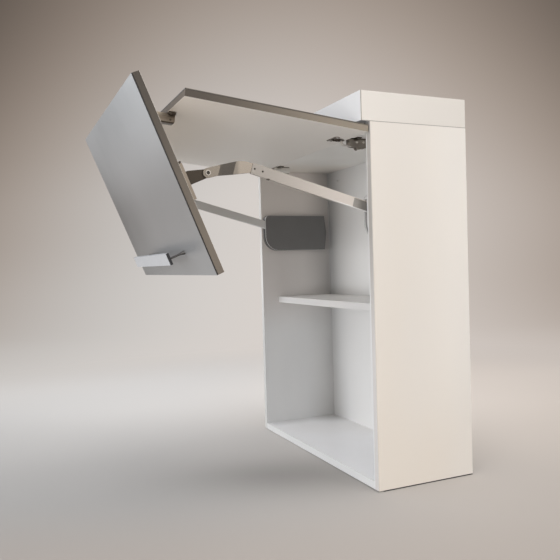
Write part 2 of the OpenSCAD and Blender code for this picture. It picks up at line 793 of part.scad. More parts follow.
module lift_base() {
    // The slot lets the arm sweep from the front down to the underside
    slot_half = tube_t / 2 + slot_gap;
    guide_y = [axle_y + hub_r, head_y - over];
    slot_top = axle[1] + (tube_rise + tube_h / 2) / cos(arm_tilt) + (axle_y - lift_front) * tan(arm_tilt) + slot_half;
    slot_back = axle_y + tube_h / 2 + slot_half;
    difference() {
        union() {
            flat_x(base_x, inner_x) polygon(housing(0));
            flat_x(cover_x, inner_x) difference() {
                polygon(housing(0));
                polygon(housing(rim_t));
            }
            block([cover_x, seat_y, lift_mid - head_h / 2], [inner_x, seat_y + seat_t, lift_mid + head_h / 2]);
            for (z = [push_low - guide_t - slide_gap, push_high + slide_gap])
                block([base_x - guide_h, guide_y[0], z], [inner_x, guide_y[1], z + guide_t]);
        }
        block([arm_x - slot_half, lift_front - over, lift_mid - lift_h / 2 - over],
              [arm_x + slot_half, slot_back, slot_top]);
        at_lift_screws() screw_seat(board_screw_len);
    }
}
module lift_base_left() color("LightGray") in_frame() left() lift_base();
module lift_base_right() color("LightGray") in_frame() lift_base();

module lift_cover() {
    // The cover's lip drops inside the rim
    lip = 2;
    flat_x(cover_x - cover_t, cover_x) polygon(housing(rim_t / 2));
    flat_x(cover_x - over, cover_x + lip) difference() {
        polygon(housing(rim_t + groove_gap));
        polygon(housing(rim_t + cover_t));
    }
}
module lift_cover_left() color("DarkSlateGray") in_frame() left() lift_cover();
module lift_cover_right() color("DarkSlateGray") in_frame() lift_cover();

module lift_axles() color("Silver") in_frame() both() rod_x(cover_x, base_x, axle, axle_r);

module rod_y(x, y0, y1, z, r) translate([x, y0, z]) rotate([-90, 0, 0]) cylinder(h = y1 - y0, r = r);
module spring_rods() {
    color("Silver") in_frame() both() for (s = [-1, 1])
        rod_y(spring_x, rod_y0, seat_y, lift_mid + s * spring_half, rod_r);
}
module slider() {
    block([roller_x, slider_face, push_low], [roller_x + slider_t, head_y + head_t, push_high]);
    block([spring_x - spring_r, head_y, lift_mid - head_h / 2],
          [roller_x + slider_t, head_y + head_t, lift_mid + head_h / 2]);
    for (s = [-1, 1])
        rod_y(spring_x, head_y + head_t / 2, head_y + head_t + spigot_len, lift_mid + s * spring_half, rod_r);
}
module slider_left() color("Silver") in_frame() left() slider();
module slider_right() color("Silver") in_frame() slider();

// Each spring is one tube wound round its rod, with its ends against the crosshead and the seat
ring_sides = 6;
turn_steps = 8;
spring_y0 = head_y + head_t + wire_r;
spring_y1 = seat_y - wire_r;
spring_rings = spring_turns * turn_steps;
function spring_at(i) = let (a = 360 * i / turn_steps)
    [spring_r * cos(a), spring_y0 + (spring_y1 - spring_y0) * i / spring_rings, spring_r * sin(a)];
function spring_ring(i) =
    let (a = 360 * i / turn_steps, rise = (spring_y1 - spring_y0) / spring_turns,
         way = [-2 * PI * spring_r * sin(a), rise, 2 * PI * spring_r * cos(a)], t = way / norm(way),
         out = [cos(a), 0, sin(a)], side = cross(t, out))
    [for (j = [0 : ring_sides - 1]) let (b = 360 * j / ring_sides)
        spring_at(i) + wire_r * (cos(b) * out + sin(b) * side)];
module spring() {
    points = [for (i = [0 : spring_rings]) each spring_ring(i)];
    last = spring_rings * ring_sides;
    walls = [for (i = [0 : spring_rings - 1], j = [0 : ring_sides - 1])
        let (a = i * ring_sides + j, b = i * ring_sides + (j + 1) % ring_sides)
        each [[a, a + ring_sides, b + ring_sides], [a, b + ring_sides, b]]];
    ends = [for (j = [1 : ring_sides - 2]) each [[0, j, j + 1], [last, last + j + 1, last + j]]];
    polyhedron(points, concat(walls, ends), convexity = 10);
}
spring_least_gap = min([for (i = [0 : turn_steps]) norm(spring_at(i + turn_steps) - spring_at(i))]) - 2 * wire_r;
module springs() {
    echo(spring_least_gap = spring_least_gap);
    for (s = [-1, 1]) translate([spring_x, 0, lift_mid + s * spring_half]) spring();
}
module springs_left() color("Gray") in_frame() left() springs();
module springs_right() color("Gray") in_frame() springs();

// Lift arms, drawn round the axle with the tube along -Y

module arm_frame() translate([arm_x, axle[0], axle[1]]) rotate([-arm_tilt, 0, 0]) children();
// Half the height of the bar inside the tube, and how far bar and lever reach into it
bar_half = tube_h / 2 - tube_wall - run_gap;
lever_in = 60;
neck_in = 90;
roller_at = turned(roller_reach * [cos(roller_angle), sin(roller_angle)], [0, 0], arm_tilt);
// Half the width of the lever's short leg that carries the roller
leg_half = 8;

module lever() {
    difference() {
        union() {
            flat_x(-bar_t / 2, bar_t / 2) {
                circle(r = hub_r);
                polygon([[0, hub_r], [-tube_start, tube_rise + bar_half],
                         [-window_end - lever_in, tube_rise + bar_half],
                         [-window_end - lever_in, tube_rise - bar_half],
                         [-tube_start, tube_rise - bar_half], [0, -hub_r]]);
                rotate(atan2(roller_at[1], roller_at[0])) translate([0, -leg_half])
                    square([roller_reach, 2 * leg_half]);
                translate(roller_at) circle(r = leg_half);
            }
            rod_x(bar_t / 2, roller_w + bar_t / 2 + slide_gap, roller_at, roller_pin_r);
        }
        rod_x(-bar_t, bar_t, [0, 0], axle_r + run_gap);
    }
}
module lever_left() color("Gray") in_frame() left() arm_frame() lever();
module lever_right() color("Gray") in_frame() arm_frame() lever();

module roller() {
    start = bar_t / 2 + slide_gap;
    difference() {
        rod_x(start, start + roller_w, roller_at, roller_r);
        rod_x(start - over, start + roller_w + over, roller_at, roller_pin_r + run_gap);
    }
}
module roller_left() color("White") in_frame() left() arm_frame() roller();
module roller_right() color("White") in_frame() arm_frame() roller();

// Distances of the two set screws from the tube's front end, and the screws' radius
set_screw_near = 7.5;
set_screw_far = 30;
set_screw_r = 2.5;
notch_at = 60;
notch_w = 5;
module at_set_screws()
    for (d = [set_screw_near, set_screw_far]) translate([0, -tube_end + d, tube_rise]) rotate([0, 90, 0]) children();

module arm_tube() {
    half = tube_h / 2;
    side = tube_t / 2;
    difference() {
        block([-side, -tube_end, tube_rise - half], [side, -tube_start, tube_rise + half]);
        block([-side + tube_wall, -tube_end - over, tube_rise - half + tube_wall],
              [side - tube_wall, -tube_start + over, tube_rise + half - tube_wall]);
        block([0, -window_end, tube_rise - half + tube_wall], [side + over, over, tube_rise + half - tube_wall]);
        at_set_screws() cylinder(h = side + over, r = set_screw_r + run_gap);
        block([-side - over, -tube_end + notch_at, tube_rise - half - over],
              [side + over, -tube_end + notch_at + notch_w, tube_rise - half + tube_wall / 2]);
    }
}
module arm_tube_left() color("Tan") in_frame() left() arm_frame() arm_tube();
module arm_tube_right() color("Tan") in_frame() arm_frame() arm_tube();

// The goose-neck is a bar bent down in its own plane and stepped sideways
neck_drop_to = tube_rise - rivet_local[1];
neck_turn = atan2(neck_drop_to, -rivet_local[0] - neck_corner);
neck_tangent = neck_bend_r * tan(neck_turn / 2);
// Distances from the rivet to the two bends of the sideways step
step_near = 26;
step_far = 66;
module neck_side_view() {
    inner = neck_corner - neck_tangent;
    c = [-inner, tube_rise - neck_bend_r];
    way = [-cos(neck_turn), -sin(neck_turn)];
    square_to = [-way[1], way[0]];
    polygon(concat(
        [[-tube_end + neck_in, tube_rise - bar_half], [-tube_end + neck_in, tube_rise + bar_half]],
        arc(c, neck_bend_r + bar_half, 90, 90 + neck_turn, 12),
        [rivet_local - bar_half * square_to, rivet_local + bar_half * square_to],
        [rivet_local + bar_half * square_to - neck_fill * way, [-tube_end, tube_rise - bar_half]]));
    translate(rivet_local) circle(r = bar_half);
}
module neck_top_view() {
    half = bar_t / 2;
    tip = rivet_local[0] - bar_half;
    near = rivet_local[0] + step_near;
    far = rivet_local[0] + step_far;
    polygon([[-half, -tube_end + neck_in + over], [half, -tube_end + neck_in + over], [half, far],
             [neck_step + half, near], [neck_step + half, tip - over], [neck_step - half, tip - over],
             [neck_step - half, near], [-half, far]]);
}
module goose_neck() {
    difference() {
        intersection() {
            flat_x(-bar_t - over, neck_step + bar_t + over) neck_side_view();
            translate([0, 0, rivet_local[1] - tube_h]) linear_extrude(neck_drop_to + 2 * tube_h) neck_top_view();
        }
        rod_x(0, neck_step + bar_t, rivet_local, rivet_r + run_gap);
    }
}
module goose_neck_left() color("Silver") in_frame() left() arm_frame() goose_neck();
module goose_neck_right() color("Silver") in_frame() arm_frame() goose_neck();

// The set screws press on the bar inside the tube, and the rivet fills the bar's eye
module arm_fasteners() {
    // Height of the rivet's head and depth of its hollow
    head_h = 2;
    hollow = 1.4;
    outer = neck_step + bar_t / 2;
    at_set_screws() translate([0, 0, bar_t / 2]) difference() {
        cylinder(h = tube_t / 2 - bar_t / 2 - slide_gap, r = set_screw_r);
        translate([0, 0, slide_gap]) cylinder(h = tube_t, r = set_screw_r / 2, $fn = 6);
    }
    difference() {
        union() {
            rod_x(outer - bar_t, outer, rivet_local, rivet_r);
            rod_x(outer, outer + head_h, rivet_local, 2 * rivet_r - over);
        }
        rod_x(outer + head_h - hollow, outer + head_h + over, rivet_local, rivet_r - over);
    }
}
module arm_fasteners_left() color("Gainsboro") in_frame() left() arm_frame() arm_fasteners();
module arm_fasteners_right() color("Gainsboro") in_frame() arm_frame() arm_fasteners();

// Brackets on the lower leaf: a channel, and a dark plate that meets the goose-neck

bracket_sheet = 2.5;
// Share of the bracket's length that lies below the rivet
bracket_low_share = 0.516;
bracket_x = inner_x - slide_gap - over;
bracket_screw_in = 8;
plate_x = arm_x + neck_step - bar_t / 2 - slide_gap - bracket_sheet;
// How far the dark plate reaches above and below the rivet at its root, and its knee over the leaf
plate_up = 22.5;
plate_down = 11.5;
plate_knee = 24;
// Radius of the plate's tip round the rivet, and its half width there
plate_tip_r = 12;
plate_tip_half = 10.5;
module arm_bracket() {
    low = rivet_shut[1] - bracket_len * bracket_low_share;
    high = low + bracket_len;
    difference() {
        block([bracket_x - bracket_w, leaf_in, low], [bracket_x, leaf_in + bracket_h, high]);
        block([bracket_x - bracket_w + bracket_sheet, leaf_in + bracket_sheet, low - over],
              [bracket_x - bracket_sheet, leaf_in + bracket_h + over, high + over]);
        at_bracket_screws() screw_seat(leaf_screw_len);
    }
}
module arm_bracket_left() color("DarkKhaki") in_frame() fold() left() arm_bracket();
module arm_bracket_right() color("DarkKhaki") in_frame() fold() arm_bracket();

module bracket_plate() {
    foot = leaf_in + bracket_sheet;
    flat_x(plate_x, plate_x + bracket_sheet)
        polygon([[foot, rivet_shut[1] + plate_up], [leaf_in + plate_knee, rivet_shut[1] + plate_up],
                 [rivet_shut[0], rivet_shut[1] + plate_tip_half], [rivet_shut[0], rivet_shut[1] - plate_tip_half],
                 [foot, rivet_shut[1] - plate_down]]);
    rod_x(plate_x, plate_x + bracket_sheet, rivet_shut, plate_tip_r);
}
module bracket_plate_left() color("DarkSlateGray") in_frame() fold() left() bracket_plate();
module bracket_plate_right() color("DarkSlateGray") in_frame() fold() bracket_plate();

side_panel_left();
side_panel_right();
top_panel();
bottom_panel();
back_panel();
hanging_rail();
shelf();
shelf_pins();
cornice_front();
cornice_left();
cornice_right();
cornice_cap();
carcass_dowels();
carcass_screws();
upper_door();
upper_door_facing();
upper_door_screws();
lower_door();
lower_door_facing();
lower_door_screws();
handle_grip();
handle_posts();
handle_screws();
top_hinge_plates();
top_hinge_arm_left();
top_hinge_arm_right();
top_hinge_arm_screws();
top_hinge_cup_left();
top_hinge_cup_right();
top_hinge_pins();
centre_hinge_arm_left();
centre_hinge_arm_right();
centre_hinge_block_left();
centre_hinge_block_right();
centre_hinge_pins();
lift_base_left();
lift_base_right();
lift_cover_left();
lift_cover_right();
lift_axles();
spring_rods();
slider_left();
slider_right();
springs_left();
springs_right();
lever_left();
lever_right();
roller_left();
roller_right();
arm_tube_left();
arm_tube_right();
goose_neck_left();
goose_neck_right();
arm_fasteners_left();
arm_fasteners_right();
arm_bracket_left();
arm_bracket_right();
bracket_plate_left();
bracket_plate_right();
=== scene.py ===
import json
import math

import bmesh
import bpy
from mathutils import Matrix, Vector


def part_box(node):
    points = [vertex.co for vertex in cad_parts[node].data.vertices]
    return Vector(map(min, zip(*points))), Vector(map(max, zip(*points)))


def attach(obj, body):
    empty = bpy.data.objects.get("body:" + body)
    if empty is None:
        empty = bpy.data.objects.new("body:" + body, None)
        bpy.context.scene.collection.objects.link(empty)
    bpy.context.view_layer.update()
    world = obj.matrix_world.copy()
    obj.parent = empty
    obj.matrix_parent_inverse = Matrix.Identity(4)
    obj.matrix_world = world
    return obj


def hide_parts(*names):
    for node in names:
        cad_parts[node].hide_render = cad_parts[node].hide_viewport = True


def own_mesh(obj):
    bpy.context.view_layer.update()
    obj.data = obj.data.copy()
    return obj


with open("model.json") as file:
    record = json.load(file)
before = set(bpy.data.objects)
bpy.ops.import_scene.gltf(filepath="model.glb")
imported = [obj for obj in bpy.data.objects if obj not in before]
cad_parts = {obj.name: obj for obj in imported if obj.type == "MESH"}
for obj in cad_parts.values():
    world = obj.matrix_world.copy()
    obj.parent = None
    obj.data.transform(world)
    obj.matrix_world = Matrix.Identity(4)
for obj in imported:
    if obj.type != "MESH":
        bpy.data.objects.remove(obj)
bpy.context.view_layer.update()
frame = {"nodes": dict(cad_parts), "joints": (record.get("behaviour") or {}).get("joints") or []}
nodes = frame["nodes"]

# Camera. It stands low off the cabinet's front right corner and looks along
# the open side, at the photograph's height, turn and slight tilt.
AZIMUTH, ELEVATION, ROLL = math.radians(66.08), math.radians(1.25), math.radians(-1.62)
CAMERA_PLACE, LENS_MM, FILM_MM = (1.88368, -1.25389, -0.32151), 41.50, 36.0
back = Vector((math.sin(AZIMUTH) * math.cos(ELEVATION),
               -math.cos(AZIMUTH) * math.cos(ELEVATION),
               math.sin(ELEVATION)))
level = (-back).cross(Vector((0, 0, 1))).normalized()
upright = level.cross(-back)
right = math.cos(ROLL) * level + math.sin(ROLL) * upright
up = math.cos(ROLL) * upright - math.sin(ROLL) * level
camera_data = bpy.data.cameras.new("camera")
camera_data.lens, camera_data.sensor_width = LENS_MM, FILM_MM
camera = bpy.data.objects.new("camera", camera_data)
camera.matrix_world = (Matrix.Translation(CAMERA_PLACE)
                       @ Matrix((right, up, back)).transposed().to_4x4())
bpy.context.scene.collection.objects.link(camera)
bpy.context.scene.camera = camera
bpy.context.scene.view_settings.view_transform = "Standard"


# Studio sweep. A seamless sheet of warm grey paper lies under the cabinet and
# curves up far behind it, brightest in a painted pool of light beyond the cabinet.
class Wire:
    """A socket of a finish. Sums and products of wires add Math nodes."""

    def __init__(self, finish, socket):
        self.finish, self.socket = finish, socket

    def maths(self, operation, *values):
        return self.finish.node("ShaderNodeMath", {"operation": operation}, dict(enumerate(values)))

    def __add__(self, other):
        return self.maths("ADD", self, other)

    def __radd__(self, other):
        return self.maths("ADD", other, self)

    def __sub__(self, other):
        return self.maths("SUBTRACT", self, other)

    def __rsub__(self, other):
        return self.maths("SUBTRACT", other, self)

    def __mul__(self, other):
        return self.maths("MULTIPLY", self, other)

    def __rmul__(self, other):
        return self.maths("MULTIPLY", other, self)

    def __neg__(self):
        return self.maths("MULTIPLY", self, -1.0)

    def __rpow__(self, base):
        return self.maths("POWER", base, self)

    def __abs__(self):
        return self.maths("ABSOLUTE", self)

    def rise(self, low, high):
        """0 below low, 1 above high, and a smooth rise between them."""
        return self.finish.node("ShaderNodeMapRange", {"interpolation_type": "SMOOTHSTEP"},
                                {0: self, 1: low, 2: high, 3: 0.0, 4: 1.0})


class Finish:
    """A procedural material, built round its Principled shader."""

    def __init__(self, name, **constants):
        self.material = bpy.data.materials.new(name)
        self.material.use_nodes = True
        self.tree = self.material.node_tree
        self.shader = self.tree.nodes["Principled BSDF"]
        for socket, value in constants.items():
            self.shader.inputs[socket.replace("_", " ")].default_value = value

    def node(self, kind, settings=None, sockets=None, output=0):
        """Adds a node: its type, its settings, and the values or wires of its sockets."""
        made = self.tree.nodes.new(kind)
        for key, value in (settings or {}).items():
            setattr(made, key, value)
        for key, value in (sockets or {}).items():
            if isinstance(value, Wire):
                self.tree.links.new(value.socket, made.inputs[key])
            else:
                made.inputs[key].default_value = value
        return Wire(self, made.outputs[output])

    def place(self):
        """Where a point lies in the cabinet's frame, in metres."""
        return self.node("ShaderNodeTexCoord", output="Object")

    def axes(self, vector):
        parts = self.node("ShaderNodeSeparateXYZ", sockets={0: vector}).socket.node
        return [Wire(self, parts.outputs[i]) for i in range(3)]

    def noise(self, vector, scale, detail, stretch=None):
        if stretch:
            vector = self.node("ShaderNodeMapping", sockets={"Vector": vector, "Scale": stretch})
        return self.node("ShaderNodeTexNoise",
                         sockets={"Vector": vector, "Scale": scale, "Detail": detail})

    def mix(self, factor, a, b):
        """A colour between a and b."""
        a, b = [(*c, 1) if isinstance(c, tuple) else c for c in (a, b)]
        return self.node("ShaderNodeMix", {"data_type": "RGBA"}, {0: factor, 6: a, 7: b}, output=2)

    def bump(self, height, strength, distance):
        return self.node("ShaderNodeBump",
                         sockets={"Height": height, "Strength": strength, "Distance": distance})

    def into(self, **wires):
        """Links wires to the shader's sockets and hands back the material."""
        for socket, wire in wires.items():
            self.tree.links.new(wire.socket, self.shader.inputs[socket.replace("_", " ")])
        return self.material


def mesh_piece(name, points, faces):
    mesh = bpy.data.meshes.new(name)
    mesh.from_pydata([tuple(p) for p in points], [], faces)
    made = bpy.data.objects.new(name, mesh)
    bpy.context.scene.collection.objects.link(made)
    return made


# Metres: the floor's height, where the sheet starts to curve, the radius of its
# curve, and how far it reaches to each side, to the front and up.
FLOOR_Z, SWEEP_START, SWEEP_RADIUS, SWEEP_REACH = -0.9428, 3.6, 2.2, 9.0
far = -Vector((back.x, back.y, 0)).normalized()
across = Vector((far.y, -far.x, 0))
profile = [(-SWEEP_REACH, 0.0)]
profile += [(SWEEP_START + SWEEP_RADIUS * math.sin(angle), SWEEP_RADIUS * (1 - math.cos(angle)))
            for angle in map(math.radians, range(0, 91, 5))]
profile.append((SWEEP_START + SWEEP_RADIUS, SWEEP_REACH))
sweep = mesh_piece("studio_sweep",
                   [along * far + side * SWEEP_REACH * across + Vector((0, 0, FLOOR_Z + height))
                    for along, height in profile for side in (-1, 1)],
                   [(2 * i, 2 * i + 1, 2 * i + 3, 2 * i + 2) for i in range(len(profile) - 1)])
sweep.data.shade_smooth()
paper = Finish("warm_grey_paper", Roughness=0.9, Specular_IOR_Level=0.1)
paper_x, paper_y, paper_z = paper.axes(paper.place())
along_paper = paper_x * far.x + paper_y * far.y
across_paper = paper_x * across.x + paper_y * across.y
sheet_run = along_paper + (paper_z - FLOOR_Z)


def toned(tint, tone):
    return paper.node("ShaderNodeVectorMath", {"operation": "SCALE"}, {0: tint, "Scale": tone})


def fading(rate, off):
    """1 on a line, and fading away from it on both sides."""
    return math.e ** -(rate * off * off)


# The far sheet glows with a painted pool of light, which fades upward and to both
# sides, and the paper is warmer where it is darker. Places are metres along and across the sheet.
POOL_TONE, POOL_FOOT, POOL_FALL = 0.635, 0.045, 0.395
painted_pool = POOL_TONE + POOL_FOOT * (1 - sheet_run.rise(0.4, 2.5))
painted_pool = painted_pool - POOL_FALL * sheet_run.rise(7.0, 10.9)
off_pool = across_paper + 0.45 - 0.25 * sheet_run.rise(5.0, 6.8)
painted_pool = painted_pool * fading(0.03 * sheet_run.rise(6.5, 9.9) + 0.053, off_pool)
pool_tint = paper.mix(across_paper.rise(-3.2, 1.5), (1.035, 1.0, 0.965), (1.085, 0.985, 0.915))
pool_tint = paper.mix(painted_pool.rise(0.08, 0.62), (1.24, 1.0, 0.83), pool_tint)

# Near the cabinet the sheet is lit by the lamps, with painted shade on it: deeper
# towards the camera and to both sides, a painted shadow in a soft patch before the
# open front, and painted shade in the gap under the right side panel.
NEAR_TONE, FRONT_SHADE_LOSS, SHADOW_LOSS, GAP_SHADE_LOSS = 0.75, 0.40, 0.34, 0.85
off_middle = across_paper + 0.2
shadow_along, shadow_across = (along_paper + 0.33) * 6.0, (across_paper + 0.38) * 3.2
# a painted shadow, soft, just before the open front's foot
painted_shadow = math.e ** -(shadow_along * shadow_along + shadow_across * shadow_across)
near_tone = NEAR_TONE - FRONT_SHADE_LOSS * (1 - along_paper.rise(-1.2, 0.7))
near_tone = near_tone * (1 - SHADOW_LOSS * painted_shadow)
near_tone = near_tone * fading(0.2 - 0.14 * along_paper.rise(0.1, 1.4), off_middle)
# painted shade on the strip of paper under the right side panel
gap_shade = (paper_x.rise(0.30, 0.37) * (1 - paper_x.rise(0.400, 0.4012))
           * paper_y.rise(-0.308, -0.300) * (1 - paper_y.rise(0.0, 0.004)))
near_tone = near_tone * (1 - GAP_SHADE_LOSS * gap_shade)
near_tint = paper.mix(across_paper.rise(-1.0, 0.8), (1.02, 1.005, 0.985), (1.08, 0.99, 0.91))
near_tint = paper.mix(along_paper.rise(-1.0, -0.45), (1.09, 0.99, 0.91), near_tint)
paper.into(Base_Color=toned(near_tint, near_tone))
from_cabinet = paper.node("ShaderNodeMath", {"operation": "SQRT"},
                          {0: along_paper * along_paper + across_paper * across_paper})
rays = [paper.node("ShaderNodeLightPath", output=kind)
        for kind in ("Is Camera Ray", "Is Glossy Ray", "Is Transmission Ray")]
# the painted pool of light glows for camera, glossy and transmission rays
painted_glow = paper.node("ShaderNodeEmission", sockets={"Color": toned(pool_tint, painted_pool)})
lit = paper.node("ShaderNodeMixShader",
                 sockets={0: (rays[0] + rays[1] + rays[2]) * from_cabinet.rise(1.5, 2.8),
                          1: Wire(paper, paper.shader.outputs[0]), 2: painted_glow})
paper.tree.links.new(lit.socket, paper.tree.nodes["Material Output"].inputs["Surface"])
sweep.data.materials.append(paper.material)


# Studio light. Warm soft boxes hang over the cabinet and stand off its right
# side, cool ones fill its open front and its left, and a weak dome lifts the shadows.
def soft_box(name, place, target, size, power, colour):
    data = bpy.data.lights.new(name, "AREA")
    data.shape, data.size, data.size_y = "RECTANGLE", size[0], size[1]
    data.energy, data.color = power, colour
    lamp = bpy.data.objects.new(name, data)
    lamp.location = place
    lamp.rotation_mode = "QUATERNION"
    lamp.rotation_quaternion = (Vector(target) - Vector(place)).to_track_quat("-Z", "Y")
    bpy.context.scene.collection.objects.link(lamp)


soft_box("key_right", (3.2, 0.4, 1.4), (0.35, -0.2, -0.4), (3.0, 3.0), 38, (1.0, 0.955, 0.90))
soft_box("key_corner", (1.75, -1.75, 0.85), (0.0, -0.1, -0.5), (1.4, 1.4), 9, (1.0, 0.985, 0.97))
soft_box("fill_opening", (1.7, -1.95, -0.72), (-0.1, -0.35, -0.05), (1.3, 0.9), 17,
         (0.98, 0.985, 1.0))
soft_box("fill_low", (-0.15, -3.0, -0.72), (0.0, 0.0, -0.35), (1.8, 0.4), 14, (0.95, 0.975, 1.0))
soft_box("fill_front", (-0.3, -3.6, 1.1), (0, -0.3, -0.5), (3.4, 2.4), 16, (0.95, 0.97, 1.0))
soft_box("fill_left", (-1.7, -2.5, 0.1), (0.25, -0.2, -0.9), (1.2, 1.0), 13, (0.94, 0.97, 1.0))
soft_box("top_light", (0.3, 0.2, 3.4), (0.2, -0.3, -0.9), (3.0, 3.0), 84, (1.0, 0.975, 0.94))
soft_box("side_left", (-3.3, -1.9, 0.7), (-0.1, -0.75, 0.1), (2.6, 1.8), 7, (0.97, 0.985, 1.0))
DOME_COLOUR, DOME_STRENGTH = (0.98, 0.97, 1.0, 1), 0.5
world = bpy.data.worlds.new("studio_dome")
bpy.context.scene.world = world
world.use_nodes = True
world.node_tree.nodes["Background"].inputs["Color"].default_value = DOME_COLOUR
world.node_tree.nodes["Background"].inputs["Strength"].default_value = DOME_STRENGTH

# Carcass boards. Melamine faced chipboard with the fine pearl of a pressed foil,
# doweled and screwed together. The foil is warmer outside, the front edges are
# banded, and a dark hairline shows at each joint.
CARCASS_FRONT, CARCASS_TOP = -0.32, 0.06
SIDE_OUT, SIDE_IN, EDGING_IN = 0.40, 0.378, 0.382
EDGING_JOINT = CARCASS_FRONT + 0.00085
OPEN_JOINT = (0.24, 0.215, 0.19)
WELD_WITHIN, FLAT_DEGREES, ARRIS_DEGREES = 0.000005, 0.8, 32


def dress(node, finish, bevel=0.0006, segments=2, sharper_than=ARRIS_DEGREES):
    """Rounds a CAD node's arrises and gives it a finish."""
    part = nodes[node]
    weld = part.modifiers.new("weld", "WELD")
    weld.merge_threshold = WELD_WITHIN
    flat = part.modifiers.new("flat_faces", "DECIMATE")
    flat.decimate_type, flat.angle_limit = "DISSOLVE", math.radians(FLAT_DEGREES)
    if bevel:
        arris = part.modifiers.new("arris", "BEVEL")
        arris.width, arris.segments = bevel, segments
        arris.limit_method, arris.angle_limit = "ANGLE", math.radians(sharper_than)
        arris.harden_normals = True
    part.data.shade_smooth()
    part.modifiers.new("even_normals", "WEIGHTED_NORMAL").keep_sharp = True
    part.data.materials.clear()
    part.data.materials.append(finish)


def scaled(colour, tone):
    """A colour made deeper or paler, short of pure white."""
    return tuple(min(tone * c, 0.98) for c in colour)


def shaded_inner_foil(board, x, y, z, inside, shade):
    """The foil inside: painted shade low on the left, across the left face's middle and in
    the far left corner, and painted light on the right and high on the left face.
    """
    # painted shade low on the left
    low_left_shade = (1 - z.rise(-0.75, 0.0)) * (1 - x.rise(-0.38, -0.30))
    tint = board.mix(shade * low_left_shade, inside, scaled(inside, 0.79))
    # painted light on the right, higher up
    tint = board.mix(x.rise(-0.27, -0.12) * z.rise(-0.70, -0.30), tint, scaled(inside, 1.17))
    left_face = (1 - x.rise(-SIDE_IN, -SIDE_IN + 0.002)) * (1 - y.rise(-0.04, -0.03))
    # a painted shadow across the left face's middle, under the lift unit, and painted light above
    # it
    tint = board.mix(left_face * z.rise(-0.60, -0.42), tint, (0.55, 0.52, 0.50))
    tint = board.mix(left_face * z.rise(-0.33, -0.15), tint, (0.75, 0.70, 0.66))
    # painted shade in the far left corner, strongest low down
    corner = (1 - x.rise(-0.40, -0.23)) * y.rise(-0.16, 0.0)
    corner_shade_depth = 1.04 - 0.56 * z.rise(-0.98, -0.66) + 0.12 * z.rise(-0.52, -0.34)
    return board.mix(shade * corner * corner_shade_depth, tint, scaled(inside, 0.10))


def shaded_side_banding(board, x, z):
    """The edging of the two side panels, from foot to top: painted shade deepens the right
    one upward, and painted light makes the left one paler upward.
    """
    right_band_shaded = board.mix(z.rise(-0.62, -0.20), (0.60, 0.58, 0.565), (0.46, 0.44, 0.42))
    left_band_lit = board.mix(z.rise(-0.70, -0.25), (0.58, 0.58, 0.57), (0.92, 0.92, 0.90))
    return board.mix(x.rise(-0.1, 0.1), left_band_lit, right_band_shaded)


def melamine(name, inside, banding=None, front=CARCASS_FRONT, shade=1.0):
    """A board's foil. Its front edge is banded in one tint, or else as the side panels are."""
    board = Finish(name, Specular_IOR_Level=0.35)
    spot = board.place()
    x, y, z = board.axes(spot)
    pearl = board.noise(spot, 900, 2)
    cloud = board.noise(spot, 2.2, 3, (1, 1, 0.35))
    tint = shaded_inner_foil(board, x, y, z, inside, shade)
    banded = 1 - y.rise(front + 0.00015, front + 0.00035)
    if banding:
        tint = board.mix(banded, tint, banding)
    else:
        edging = banded * abs(x).rise(EDGING_IN - 0.0002, EDGING_IN + 0.0002)
        tint = board.mix(edging, tint, shaded_side_banding(board, x, z))
    outer_face = abs(x).rise(SIDE_OUT - 0.0010, SIDE_OUT - 0.0006)
    # The outer face: painted shade deepens its foot, and painted light makes it paler towards the
    # wall.
    shaded_outside = board.mix(z.rise(-0.95, -0.60), (0.79, 0.73, 0.65), (0.82, 0.767, 0.692))
    shaded_outside = board.mix(y.rise(-0.26, 0.0) * z.rise(-0.95, -0.50), shaded_outside, (0.915, 0.875, 0.81))
    tint = board.mix(outer_face, tint, shaded_outside)
    tint = board.mix(0.5 * cloud.rise(0.35, 0.7), tint, (0.80, 0.78, 0.75))
    below_cornice = 1 - z.rise(CARCASS_TOP - 0.0005, CARCASS_TOP + 0.0005)
    hairline = (1 - abs(y - EDGING_JOINT).rise(0.00015, 0.0004)) * below_cornice
    top_seam = outer_face * z.rise(CARCASS_TOP - 0.0012, CARCASS_TOP - 0.0010)
    tint = board.mix(0.85 * hairline + 0.8 * top_seam, tint, OPEN_JOINT)
    return board.into(Base_Color=tint, Roughness=0.36 + 0.12 * pearl,
                      Normal=board.bump(pearl, 0.05, 0.0002))


# The foil is one, but the bottom board and the shelf carry painted light, paler than the sides and
# back, and the top panel's front edging is painted near black as shade.
white_board = melamine("white_melamine", (0.72, 0.725, 0.725))
floor_board = melamine("floor_melamine", (0.93, 0.935, 0.95), (0.68, 0.685, 0.68))
top_board = melamine("top_melamine", (0.91, 0.87, 0.81), (0.05, 0.047, 0.043))
shelf_board = melamine("shelf_melamine", (0.94, 0.94, 0.94), (0.66, 0.655, 0.65),
                       front=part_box("shelf")[0][1], shade=0.0)
for name in ("side_panel_left", "side_panel_right", "back_panel"):
    dress(name, white_board)
dress("top_panel", top_board)
dress("bottom_panel", floor_board)
dress("shelf", shelf_board)

# Hanging rail and dowels. A sawn pine rail is fixed behind the back panel, and
# fluted dowels are glued into the boards' ends, all with their grain along x.
GRAIN, PALE_PINE, DARK_PINE = (0.06, 1, 1), (0.62, 0.44, 0.25), (0.47, 0.30, 0.15)
pine = Finish("sawn_pine", Roughness=0.7)
pine_spot = pine.place()
rings = pine.noise(pine_spot, 60, 4, GRAIN)
fibres = pine.noise(pine_spot, 900, 2, GRAIN)
pine_tint = pine.mix(rings.rise(0.3, 0.7), PALE_PINE, DARK_PINE)
sawn_pine = pine.into(Base_Color=pine.mix(0.3 * fibres.rise(0.4, 0.7), pine_tint, DARK_PINE),
                      Normal=pine.bump(fibres, 0.3, 0.0003))
dress("hanging_rail", sawn_pine, 0.001)
dress("carcass_dowels", sawn_pine, 0.0008)

